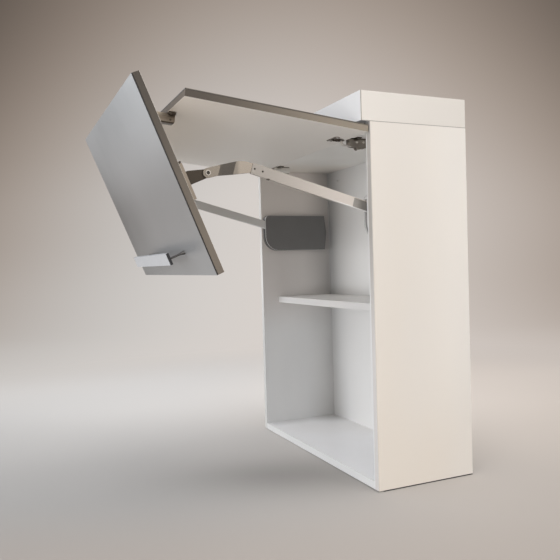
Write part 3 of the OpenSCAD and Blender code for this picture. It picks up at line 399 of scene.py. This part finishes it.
# Cornice. A lacquered box on top of the carcass: a bluish white front board
# and two warm white returns, mitred together with a fine open seam.
FRONT_WHITE, RETURN_WHITE = (0.86, 0.86, 0.86), (0.80, 0.765, 0.71)
MITRE_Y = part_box("cornice_front")[0][1] + 0.0019
lacquer = Finish("cornice_lacquer", Specular_IOR_Level=0.35)
lacquer_spot = lacquer.place()
lacquer_x, lacquer_y, lacquer_z = lacquer.axes(lacquer_spot)
peel = lacquer.noise(lacquer_spot, 450, 2)
lacquer_tint = lacquer.mix(abs(lacquer_x).rise(SIDE_OUT - 0.0014, SIDE_OUT - 0.0010),
                           FRONT_WHITE, RETURN_WHITE)
return_face = abs(lacquer_x).rise(SIDE_OUT - 0.0010, SIDE_OUT - 0.0006)
mitre = return_face * (1 - abs(lacquer_y - MITRE_Y).rise(0.0010, 0.0014))
foot_seam = return_face * (1 - lacquer_z.rise(CARCASS_TOP + 0.0006, CARCASS_TOP + 0.0008))
white_lacquer = lacquer.into(
    Base_Color=lacquer.mix(0.9 * mitre + 0.6 * foot_seam, lacquer_tint, OPEN_JOINT),
    Roughness=0.3 + 0.1 * peel, Normal=lacquer.bump(peel, 0.04, 0.0003))
for name in ("cornice_front", "cornice_left", "cornice_right", "cornice_cap"):
    dress(name, white_lacquer, 0.0005)

# Door leaves. Each is a board with a white inner face and bronze edging, and
# a satin grey sheet on its outside, set off by a shadow joint painted dark as shade.
joints = {j["name"]: j for j in frame["joints"]}


def about(pivot, degrees):
    return (Matrix.Translation(pivot) @ Matrix.Rotation(math.radians(degrees), 4, "X")
            @ Matrix.Translation([-v for v in pivot]))


OPEN = joints["upper_leaf_fold"]["range_deg"][1]
FOLD = -joints["lower_leaf_fold"]["range_deg"][0]
HINGE = Vector(joints["upper_leaf_fold"]["pos_m"])
RAISE = about(HINGE, -OPEN)
FOLD_SHUT = RAISE.inverted() @ Vector(joints["lower_leaf_fold"]["pos_m"])
FOLDED = RAISE @ about(FOLD_SHUT, FOLD)


def shut_place(finish, leaf):
    """Where a point of a leaf lies in the cabinet's frame once the front is shut."""
    turn = {"rotation_type": "X_AXIS"}
    spot = finish.node("ShaderNodeVectorRotate", turn,
                       {"Vector": finish.place(), "Center": HINGE, "Angle": math.radians(OPEN)})
    if leaf == "lower":
        spot = finish.node("ShaderNodeVectorRotate", turn,
                           {"Vector": spot, "Center": FOLD_SHUT, "Angle": math.radians(-FOLD)})
    return spot


# Where a shut leaf's inner face and the back of its board lie along y, and the
# tints of each leaf: its edging with painted light and with painted shade, its
# shadow joint painted dark as shade, its sheet's edge.
LEAF_IN, CORE_OUT = -0.324, -0.3425
LEAF_TINTS = {
    "upper": ((0.33, 0.285, 0.225), (0.057, 0.046, 0.036),
              (0.10, 0.088, 0.074), (0.15, 0.13, 0.108)),
    "lower": ((0.195, 0.165, 0.132), (0.052, 0.043, 0.034),
              (0.012, 0.011, 0.010), (0.03, 0.028, 0.026)),
}
for leaf, (lit_edging, shaded_edging, joint_shade_tint, cut_tint) in LEAF_TINTS.items():
    core = Finish(leaf + "_leaf_board", Specular_IOR_Level=0.45)
    spot = shut_place(core, leaf)
    leaf_y, leaf_z = core.axes(spot)[1:]
    grain = core.noise(spot, 500, 3, (0.05, 1, 0.05))
    speck = core.noise(spot, 900, 2)
    face = leaf_y.rise(LEAF_IN - 0.0005, LEAF_IN - 0.0002)
    # the shadow joint is painted dark, as shade in its groove
    joint = 1 - leaf_y.rise(CORE_OUT + 0.0013, CORE_OUT + 0.0015)
    if leaf == "upper":
        # The upper edging runs from painted light at the hinge end to painted shade at the free
        # end, whose end face carries painted light.
        edging = core.mix(1 - leaf_z.rise(-0.47, 0.08), lit_edging, shaded_edging)
        edging = core.mix(1 - leaf_z.rise(-0.4546, -0.4542), edging, (0.19, 0.16, 0.135))
    else:
        # The lower edging runs from painted light at its foot to painted shade at its top.
        edging = core.mix(leaf_z.rise(-0.95, -0.46), lit_edging, shaded_edging)
    edging = core.mix(0.3 * grain, edging, (0.13, 0.11, 0.09))
    # The inner face is painted deeper towards the upper leaf's free end and over the lower leaf, as
    # shade.
    inner_shaded = core.mix(leaf_z.rise(-0.44, -0.15), (0.80, 0.75, 0.685), (0.83, 0.805, 0.765))
    tint = core.mix(joint, core.mix(face, edging, inner_shaded), joint_shade_tint)
    dress(leaf + "_door",
          core.into(Base_Color=tint, Roughness=0.42 + 0.1 * speck,
                    Metallic=0.25 * (1 - face) * (1 - joint),
                    Normal=core.bump(speck, 0.04, 0.0002)), 0.0005)

    sheet = Finish(leaf + "_leaf_sheet", Specular_IOR_Level=0.5)
    spot = shut_place(sheet, leaf)
    satin = sheet.noise(spot, 1100, 2)
    smear = sheet.noise(spot, 5, 3)
    sheet_x, _, sheet_z = sheet.axes(spot)
    # Painted shade deepens the lower sheet towards its left end; at its top and on the upper leaf
    # the grey is even.
    tint = sheet.mix(sheet_x.rise(-0.42, 0.05), (0.225, 0.23, 0.234), (0.375, 0.38, 0.385))
    tint = sheet.mix(sheet_z.rise(-0.68, -0.46), tint, (0.25, 0.256, 0.262))
    tint = sheet.mix(0.2 * smear.rise(0.3, 0.7), tint, (0.44, 0.445, 0.45))
    cut_edge = abs(sheet_x).rise(0.3984, 0.3987)
    dress(leaf + "_door_facing",
          sheet.into(Base_Color=sheet.mix(cut_edge, tint, cut_tint),
                     Roughness=0.3 + 0.06 * satin, Metallic=0.55 * (1 - cut_edge),
                     Normal=sheet.bump(satin, 0.02, 0.0001)), 0.0003, 1)


# Handle. A flat aluminium grip with dark end caps, fine brushed along its
# length, on two slender turned posts that are screwed through the leaf.
def metal(name, tint, shade, roughness, along=None, leaf=None, scale=1500, metallic=1.0,
          caps=None):
    """Metal, brushed along one axis or even. Dark caps start at a given distance off the middle."""
    finish = Finish(name, Metallic=metallic)
    spot = shut_place(finish, leaf) if leaf else finish.place()
    lines = finish.noise(spot, scale, 3, along)
    stain = finish.noise(spot, 25, 3)
    colour = finish.mix(0.6 * lines + 0.4 * stain, tint, shade)
    if caps:
        capped = abs(finish.axes(spot)[0]).rise(caps, caps + 0.0004)
        colour = finish.mix(capped, colour, (0.055, 0.055, 0.057))
    return finish.into(Base_Color=colour, Roughness=roughness + 0.14 * lines + 0.08 * stain,
                       Normal=finish.bump(lines, 0.06, 0.0001))


brushed_grip = metal("brushed_grip", (0.76, 0.785, 0.82), (0.64, 0.66, 0.695), 0.3,
                     (0.03, 1, 1), "lower", metallic=0.6, caps=0.2112)
dress("handle_grip", brushed_grip, 0.0008, 3)
turned_posts = metal("turned_posts", (0.17, 0.165, 0.16), (0.11, 0.107, 0.104), 0.26,
                     (1, 0.03, 1), "lower")
dress("handle_posts", turned_posts, 0.0004)

# Screws, pins and pegs. Zinc plated steel, bright, with faint turning marks
# and a little clouding. Each sits in the bores of the pieces that it joins.
bright = metal("bright_zinc", (0.72, 0.71, 0.69), (0.55, 0.54, 0.52), 0.22, scale=700)
for name in ("handle_screws", "shelf_pins", "carcass_screws", "upper_door_screws",
             "lower_door_screws", "top_hinge_pins", "centre_hinge_pins", "lift_axles",
             "spring_rods"):
    dress(name, bright, 0.0002)

# Top hinges. A dark cast body clips on a plate under the top panel. Its pale
# swan neck reaches round the leaf's end into a pressed steel cup.
FRONT_MM, UNDERSIDE_MM = 320, 940
SIDES = {"right": 1, "left": -1}
ALONG_X, OUT_OF_LEAF = (1, 0, 0), (0, 1, 0)
SMOOTH_DEGREES = 40


def spot_mm(x, y, z):
    """A point from millimetres off the cabinet's middle, front edges and underside."""
    return Vector((x, y - FRONT_MM, z - UNDERSIDE_MM)) / 1000


def prism(near, off):
    """Joins two like rings of points into a closed solid."""
    n = len(near)
    faces = [tuple(range(n))[::-1], tuple(range(n, 2 * n))]
    return near + off, faces + [(i, (i + 1) % n, (i + 1) % n + n, i + n) for i in range(n)]


def plate(outline, x0, x1):
    """A flat piece drawn as (y, z) points and given thickness along x."""
    return prism(*([spot_mm(x, y, z) for y, z in outline] for x in (x0, x1)))


def turned(profile, start, axis, sides=32):
    """A round piece: (distance along the axis, radius) pairs turned about the axis from start."""
    axis = Vector(axis).normalized()
    side = axis.orthogonal().normalized()
    other = axis.cross(side)
    spokes = [math.cos(math.tau * i / sides) * side + math.sin(math.tau * i / sides) * other
              for i in range(sides)]
    points = [spot_mm(*(Vector(start) + axis * along + radius * spoke))
              for along, radius in profile for spoke in spokes]
    last = (len(profile) - 1) * sides
    faces = [(ring + i, ring + (i + 1) % sides, ring + sides + (i + 1) % sides, ring + sides + i)
             for ring in range(0, last, sides) for i in range(sides)]
    return points, faces + [tuple(range(sides))[::-1], tuple(range(last, last + sides))]


def strip(path, thickness):
    """The outline of a bent strip of even thickness along a path of (y, z) points."""
    path = [Vector(p) for p in path]
    near, off = [], []
    for i, p in enumerate(path):
        way = (path[min(i + 1, len(path) - 1)] - path[max(i - 1, 0)]).normalized()
        square = Vector((-way.y, way.x)) * thickness / 2
        near.append(tuple(p + square))
        off.append(tuple(p - square))
    return near + off[::-1]


def bend(centre, radius, start, end, steps):
    """Points on an arc from a start angle to an end angle, in degrees."""
    angles = [math.radians(start + (end - start) * i / steps) for i in range(steps + 1)]
    return [(centre[0] + radius * math.cos(a), centre[1] + radius * math.sin(a)) for a in angles]


def build(name, solids, finish, body, bevel=0, segments=2, turn=None, side=1, replaces=()):
    """Joins solids into one piece with rounded arrises, turns it and hangs it on a body."""
    points, faces = [], []
    for some_points, some_faces in solids:
        faces += [tuple(i + len(points) for i in face) for face in some_faces]
        points += some_points
    made = mesh_piece(name, points, faces)
    work = bmesh.new()
    work.from_mesh(made.data)
    if side < 0:
        bmesh.ops.transform(work, matrix=Matrix.Scale(-1, 4, (1, 0, 0)), verts=work.verts)
    bmesh.ops.recalc_face_normals(work, faces=work.faces)
    if turn:
        bmesh.ops.transform(work, matrix=turn, verts=work.verts)
    if bevel:
        sharp = [edge for edge in work.edges if len(edge.link_faces) == 2
                 and edge.calc_face_angle(0) > math.radians(ARRIS_DEGREES)]
        bmesh.ops.bevel(work, geom=sharp, offset=bevel, segments=segments, profile=0.5,
                        affect="EDGES", clamp_overlap=True)
    work.to_mesh(made.data)
    work.free()
    made.data.shade_smooth()
    made.data.set_sharp_from_angle(angle=math.radians(SMOOTH_DEGREES))
    made.data.materials.append(finish)
    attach(made, body)
    if replaces:
        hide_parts(*replaces)
    return made


def pan_head(centre, axis, radius, height):
    """A pan head with a sunk recess."""
    dome = [(0, radius), (height * 0.45, radius), (height * 0.85, radius * 0.8),
            (height, radius * 0.45), (height * 0.5, radius * 0.4), (height * 0.45, radius * 0.05)]
    return turned(dome, centre, axis, 24)


black_nickel = metal("black_nickel", (0.13, 0.11, 0.09), (0.09, 0.075, 0.06), 0.34, scale=500)
pale_nickel = metal("pale_nickel", (0.80, 0.77, 0.73), (0.64, 0.61, 0.57), 0.24, (0.2, 1, 1),
                    scale=500)
dress("top_hinge_plates", black_nickel, 0.0006)
dress("top_hinge_arm_screws", bright, 0.0003)

# The cast body is dark, and the left one's upper part carries a painted pale sheen.
cast = Finish("dark_nickel", Metallic=1.0)
cast_spot = cast.place()
cast_x, _, cast_z = cast.axes(cast_spot)
cast_cloud = cast.noise(cast_spot, 60, 3)
cast_tint = cast.mix(cast_cloud, (0.46, 0.42, 0.375), (0.31, 0.28, 0.245))
painted_sheen = (1 - cast_x.rise(-0.01, 0.01)) * cast_z.rise(0.0145, 0.0165)
dark_nickel = cast.into(Base_Color=cast.mix(painted_sheen, cast_tint, (0.86, 0.84, 0.80)),
                        Roughness=0.28 + 0.12 * cast_cloud,
                        Normal=cast.bump(cast_cloud, 0.05, 0.0002))

# The cup is painted darker inside than on its flange, as shade in its hollow.
cup = Finish("cup_nickel", Metallic=1.0)
cup_spot = shut_place(cup, "upper")
cup_cloud = cup.noise(cup_spot, 90, 3)
flange = cup.axes(cup_spot)[1].rise(-0.32245, -0.32230)
flange_tint = cup.mix(cup_cloud, (0.84, 0.80, 0.75), (0.66, 0.62, 0.57))
cup_nickel = cup.into(Base_Color=cup.mix(flange, (0.40, 0.36, 0.32), flange_tint),
                      Roughness=0.22 + 0.1 * cup_cloud, Normal=cup.bump(cup_cloud, 0.05, 0.0002))

# Millimetres: the hinge's middle along x, the faces of its cheeks off it, the
# cup's height, the (y, z) outlines of cheeks, trough and neck, and the turned
# profiles of the pivot and the rivets.
HINGE_X, CHEEK_IN, CHEEK_OUT, CUP_Z = 270, 7.2, 9, 969
CHEEK = ([(6, 975), (6, 959), (9, 955.5), (14, 953.5), (22, 952.5)]
         + bend((37, 952.5), 7, 180, 360, 12)
         + [(47, 952.5), (52, 950.5), (60, 950.5), (65, 953), (69, 958), (71, 965), (71, 975)])
TROUGH = [(7, 974), (7, 960), (15, 956), (24, 955), (44, 955), (60, 953.5), (67, 958),
          (69.6, 965), (69.6, 974)]
PIVOT = [(0, 5.6), (1.0, 5.6), (1.4, 5.0), (1.4, 2.4), (0.5, 2.2)]
RIVET = [(0, 3.6), (1.3, 3.6), (1.7, 2.9), (1.7, 1.2), (0.8, 1.0)]
SWAN_NECK = ([(-14, 980.7), (-14.5, 972)] + bend((-5.5, 966), 9, 180, 268, 10)
             + [(2, 957), (9, 956.6), (18, 956.6)])
for hand, side in SIDES.items():
    rivets = [turned(RIVET, (HINGE_X + CHEEK_OUT, y, 966.5), ALONG_X, 20) for y in (31, 53)]
    build(f"top_hinge_rivets_{hand}", rivets, pale_nickel, "carcass", side=side)
    body = [plate(CHEEK, HINGE_X - CHEEK_OUT, HINGE_X - CHEEK_IN),
            plate(CHEEK, HINGE_X + CHEEK_IN, HINGE_X + CHEEK_OUT),
            plate(TROUGH, HINGE_X - 7.6, HINGE_X + 7.6),
            turned(PIVOT, (HINGE_X + CHEEK_OUT, 37, 951.5), ALONG_X)]
    build(f"top_hinge_body_{hand}", body, dark_nickel, "carcass", 0.0006, side=side)
    neck = [plate(strip(SWAN_NECK, 3.4), HINGE_X - 5.2, HINGE_X + 5.2),
            turned([(-5, 2.9), (5, 2.9)], (HINGE_X, *SWAN_NECK[0]), ALONG_X)]
    build(f"top_hinge_neck_{hand}", neck, pale_nickel, "carcass", 0.0006, side=side,
          replaces=[f"top_hinge_arm_{hand}"])
    dress(f"top_hinge_cup_{hand}", cup_nickel, 0.0004)
    cup_heads = [pan_head((HINGE_X + off, -2.9, CUP_Z - 14), OUT_OF_LEAF, 3.8, 1.3)
                 for off in (-24, 24)]
    build(f"top_hinge_cup_screws_{hand}", cup_heads, bright, "upper_leaf", turn=RAISE,
          side=side)

# Centre hinges. A dark base under the upper leaf's end carries a bronze channel
# arm with two set screws, and its eye turns on a pin in the lower leaf's block.
bronze = Finish("bronze_zinc", Metallic=0.85)
bronze_spot = shut_place(bronze, "upper")
bronze_cloud = bronze.noise(bronze_spot, 60, 3)
# The channel's web is painted dark, as shade.
web_shade = bronze.axes(bronze_spot)[1].rise(-0.3000, -0.2990)
bronze_tint = bronze.mix(bronze_cloud, (0.335, 0.29, 0.235), (0.27, 0.23, 0.185))
bronze_zinc = bronze.into(Base_Color=bronze.mix(web_shade, bronze_tint, (0.085, 0.068, 0.05)),
                          Roughness=0.3 + 0.12 * bronze_cloud,
                          Normal=bronze.bump(bronze_cloud, 0.05, 0.0002))

# Millimetres: the hinge's middle along x and its pin, the base's outline as
# (x, z), the channel's walls and web as (y, z), and a set screw's profile.
FOLD_X, FOLD_Y, FOLD_Z = 225, 8.5, 417
BASE = (bend((19, 500), 6, 0, 90, 5) + bend((-19, 500), 6, 90, 180, 5)
        + bend((-19, 494), 6, 180, 270, 5) + bend((19, 494), 6, 270, 360, 5))
CHANNEL_WALL = ([(2, 506), (18, 506), (24, 503), (24, 449)] + bend((20, 449), 4, 0, -60, 4)
                + bend((FOLD_Y, FOLD_Z), 9.5, 20, -180, 14) + [(-1, 488), (2, 488)])
CHANNEL_WEB = [(21.6, 445), (24, 445), (24, 503), (21.6, 503)]
SET_SCREW = [(0, 2.6), (0.5, 2.6), (0.7, 2.2), (0.7, 1.2), (-0.6, 1.0)]
for hand, side in SIDES.items():
    base = [prism(*([spot_mm(FOLD_X + x, y, z) for x, z in BASE] for y in (-4, 2.4)))]
    base += [pan_head((FOLD_X + off, 2.2, 497), OUT_OF_LEAF, 4.2, 1.5) for off in (-19, 19)]
    build(f"centre_hinge_base_{hand}", base, black_nickel, "upper_leaf", 0.0006, 3, RAISE, side)
    channel = [plate(CHANNEL_WALL, FOLD_X + near, FOLD_X + off)
               for near, off in ((-11, -8.5), (8.5, 11))]
    channel.append(plate(CHANNEL_WEB, FOLD_X - 9, FOLD_X + 9))
    build(f"centre_hinge_channel_{hand}", channel, bronze_zinc, "upper_leaf", 0.0005, 2, RAISE,
          side, [f"centre_hinge_arm_{hand}"])
    set_screws = [turned(SET_SCREW, (FOLD_X + 11, 15, z), ALONG_X, 20) for z in (494, 462)]
    build(f"centre_hinge_set_screws_{hand}", set_screws, black_nickel, "upper_leaf",
          turn=RAISE, side=side)
    dress(f"centre_hinge_block_{hand}", black_nickel, 0.0008)

# Lift units. A steel tray under a dark matt plastic cover is screwed to each side
# panel. In it sit the axle, the lever's roller, and a push slider that squeezes
# two springs on their rods.

# The tray's lacquer is pale, but on the left it is painted dark up to the rim's face, as shade.
tray = Finish("lift_tray_lacquer", Metallic=0.3)
tray_spot = tray.place()
tray_speck = tray.noise(tray_spot, 1200, 2)
tray_tint = tray.mix(tray_speck, (0.82, 0.82, 0.815), (0.74, 0.74, 0.735))
tray_shade = 1 - tray.axes(tray_spot)[0].rise(-0.3594, -0.3588)
tray_lacquer = tray.into(Base_Color=tray.mix(tray_shade, tray_tint, (0.17, 0.17, 0.165)),
                         Roughness=0.34 + 0.12 * tray_speck,
                         Normal=tray.bump(tray_speck, 0.08, 0.0002))

# The right cover carries a painted pale highlight on its rim, behind its dark face.
cover = Finish("lift_cover_plastic", Specular_IOR_Level=0.4)
cover_spot = cover.place()
leather = cover.node("ShaderNodeTexVoronoi", {"feature": "SMOOTH_F1"},
                     {"Vector": cover_spot, "Scale": 1500})
cover_cloud = cover.noise(cover_spot, 12, 3)
cover_x, _, cover_z = cover.axes(cover_spot)
upper_face = (1 - cover_x.rise(0.3518, 0.3524)) * cover_z.rise(-0.246, -0.240)
cover_highlight = cover_x.rise(0.3503, 0.3506) * (1 - upper_face)
cover_tint = cover.mix(cover_cloud, (0.135, 0.133, 0.130), (0.16, 0.158, 0.154))
cover_plastic = cover.into(Base_Color=cover.mix(cover_highlight, cover_tint, (0.60, 0.60, 0.595)),
                           Roughness=0.46 + 0.1 * cover_cloud,
                           Normal=cover.bump(leather, 0.25, 0.0002))

spring_steel = metal("spring_steel", (0.34, 0.33, 0.32), (0.22, 0.21, 0.20), 0.3, scale=900)
nylon = Finish("white_nylon", Specular_IOR_Level=0.4, Subsurface_Weight=0.05)
nylon_grain = nylon.noise(nylon.place(), 500, 2)
white_nylon = nylon.into(Base_Color=nylon.mix(nylon_grain, (0.80, 0.79, 0.76), (0.74, 0.73, 0.70)),
                         Roughness=0.4 + 0.1 * nylon_grain,
                         Normal=nylon.bump(nylon_grain, 0.05, 0.0002))


def outline_of(node):
    """A CAD node's own points and faces, with its doubled points joined."""
    mesh, points, faces = nodes[node].data, {}, []
    for face in mesh.polygons:
        corners = [tuple(round(c, 6) for c in mesh.vertices[i].co) for i in face.vertices]
        ring = [points.setdefault(corner, len(points)) for corner in corners]
        if len(set(ring)) == len(ring):
            faces.append(ring)
    return list(points), faces


for hand in SIDES:
    dress(f"lift_base_{hand}", tray_lacquer, 0.0004)
    dress(f"lift_cover_{hand}", cover_plastic, 0.0009, 3)
    dress(f"slider_{hand}", tray_lacquer, 0.0005)
    dress(f"springs_{hand}", spring_steel, 0)
    coils = build(f"spring_coils_{hand}", [outline_of(f"springs_{hand}")], spring_steel, "carcass",
                  replaces=[f"springs_{hand}"])
    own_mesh(coils)
    dress(f"roller_{hand}", white_nylon, 0.0004)

# Lift arms. A flat steel lever leaves the lift unit, slides in a champagne
# lacquered tube, and a plated goose neck bends down from it to the leaf.
TILT, AXLE = math.radians(15.578), (75, 743.977)  # of the raised arm; (y, z) in millimetres
BRUSHED = (1, 0.04, 1)

# Painted shade and light on the tube: it is deeper at its far end, paler and cooler
# on the left arm, and pale below its middle where it leaves the lift unit.
paint = Finish("champagne_lacquer", Metallic=0.15)
paint_spot = paint.place()
paint_x, paint_y, paint_z = paint.axes(paint_spot)
paint_lines = paint.noise(paint_spot, 1500, 3, BRUSHED)
paint_tint = paint.mix(paint_y.rise(-0.66, -0.34), (0.36, 0.33, 0.295), (0.68, 0.625, 0.57))
paint_tint = paint.mix(0.8 * (1 - paint_x.rise(-0.1, 0.1)), paint_tint, (0.62, 0.625, 0.62))
axle = spot_mm(0, *AXLE)
above_axle = (paint_y - axle.y) * math.sin(TILT) + (paint_z - axle.z) * math.cos(TILT)
lit_lower_half = 1 - above_axle.rise(-0.0012, -0.0006)
paint_tint = paint.mix(0.9 * lit_lower_half * paint_y.rise(-0.46, -0.36), paint_tint,
                       (0.86, 0.86, 0.86))
arm_lacquer = paint.into(Base_Color=paint.mix(0.15 * paint_lines, paint_tint, (0.40, 0.37, 0.335)),
                         Roughness=0.38 + 0.12 * paint_lines,
                         Normal=paint.bump(paint_lines, 0.06, 0.0001))
lever_steel = metal("lever_steel", (0.40, 0.385, 0.36), (0.28, 0.27, 0.25), 0.28, BRUSHED)

# The goose neck carries painted reflections: deeper near the rivet and on its sideways step, paler
# at its bend.
goose = Finish("neck_steel", Metallic=1.0, Roughness=0.26)
goose_spot = goose.place()
goose_y = goose.axes(goose_spot)[1]
goose_lines = goose.noise(goose_spot, 1500, 3, BRUSHED)
goose_tint = goose.mix(goose_y.rise(-0.70, -0.69), (0.21, 0.185, 0.155), (0.30, 0.265, 0.225))
crank_reflection = goose_y.rise(-0.7332, -0.7312) * (1 - goose_y.rise(-0.6910, -0.6790))
goose_tint = goose.mix(crank_reflection, goose_tint, (0.20, 0.178, 0.152))
neck_steel = goose.into(Base_Color=goose.mix(0.25 * goose_lines, goose_tint, (0.17, 0.15, 0.13)),
                        Normal=goose.bump(goose_lines, 0.06, 0.0001))

# The rivet at the arm's far end has a bright rim round a hollow painted dark as
# shade, and the tube's set screws are dark too. Metres: the rivet's place, its hollow and rim.
RIVET_Y, RIVET_Z, HOLLOW, RIM = -0.7674, -0.0899, 0.0043, 0.00485
fastener = Finish("rivet_steel", Metallic=1.0)
fastener_spot = fastener.place()
fastener_x, fastener_y, fastener_z = fastener.axes(fastener_spot)
rivet_y, rivet_z = fastener_y - RIVET_Y, fastener_z - RIVET_Z
rim = (rivet_y * rivet_y + rivet_z * rivet_z).rise(HOLLOW ** 2, RIM ** 2)
far_end, outer_face = 1 - fastener_y.rise(-0.72, -0.70), abs(fastener_x).rise(0.3745, 0.3747)
# dark on the set screws and painted shade in the rivet's hollow
dark = 1 - far_end * outer_face * rim
turning = fastener.noise(fastener_spot, 900, 2)
turned_tint = fastener.mix(turning, (0.42, 0.39, 0.35), (0.33, 0.30, 0.27))
rivet_steel = fastener.into(Base_Color=fastener.mix(dark, turned_tint, (0.05, 0.045, 0.04)),
                            Roughness=0.2 + 0.12 * turning,
                            Normal=fastener.bump(turning, 0.06, 0.0001))


def on_arm(along, above):
    """A place on the raised arm: millimetres in front of the axle along the tube, and above it."""
    return (AXLE[0] - along * math.cos(TILT) + above * math.sin(TILT),
            AXLE[1] + along * math.sin(TILT) + above * math.cos(TILT))


CLIP = [on_arm(*corner) for corner in ((368, -5.2), (368, -2.4), (374.5, -2.4), (374.5, -5.2))]
for hand, side in SIDES.items():
    dress(f"lever_{hand}", lever_steel, 0.0005)
    dress(f"arm_tube_{hand}", arm_lacquer, 0.0012, 3)
    dress(f"goose_neck_{hand}", neck_steel, 0.0006, 2, sharper_than=9)
    dress(f"arm_fasteners_{hand}", rivet_steel, 0.0003)
    build(f"tube_clip_{hand}", [plate(CLIP, 355.4, 365.6)], black_nickel, f"{hand}_arm", 0.0004,
          side=side)

# Arm brackets. A channel in khaki passivated steel is screwed to the lower
# leaf, and a dark plate stands up in it to meet the goose neck's rivet.
KNOB = [(0, 2.2), (1.2, 2.2), (1.2, 3.7), (5.2, 3.7), (5.8, 3.1), (5.8, 1.6), (4.6, 1.4)]
khaki_zinc = metal("khaki_zinc", (0.34, 0.29, 0.235), (0.26, 0.22, 0.175), 0.34, (1, 1, 0.05),
                   "lower", metallic=0.6)
dark_plate = metal("dark_plate", (0.082, 0.069, 0.055), (0.058, 0.048, 0.039), 0.4, leaf="lower")
for hand, side in SIDES.items():
    dress(f"arm_bracket_{hand}", khaki_zinc, 0.0006)
    dress(f"bracket_plate_{hand}", dark_plate, 0.0004)
    knob = [turned(KNOB, (372.3, 7.2, 255.3), (0, 0, 1), 24)]
    build(f"bracket_knob_{hand}", knob, black_nickel, "lower_leaf", turn=FOLDED, side=side)
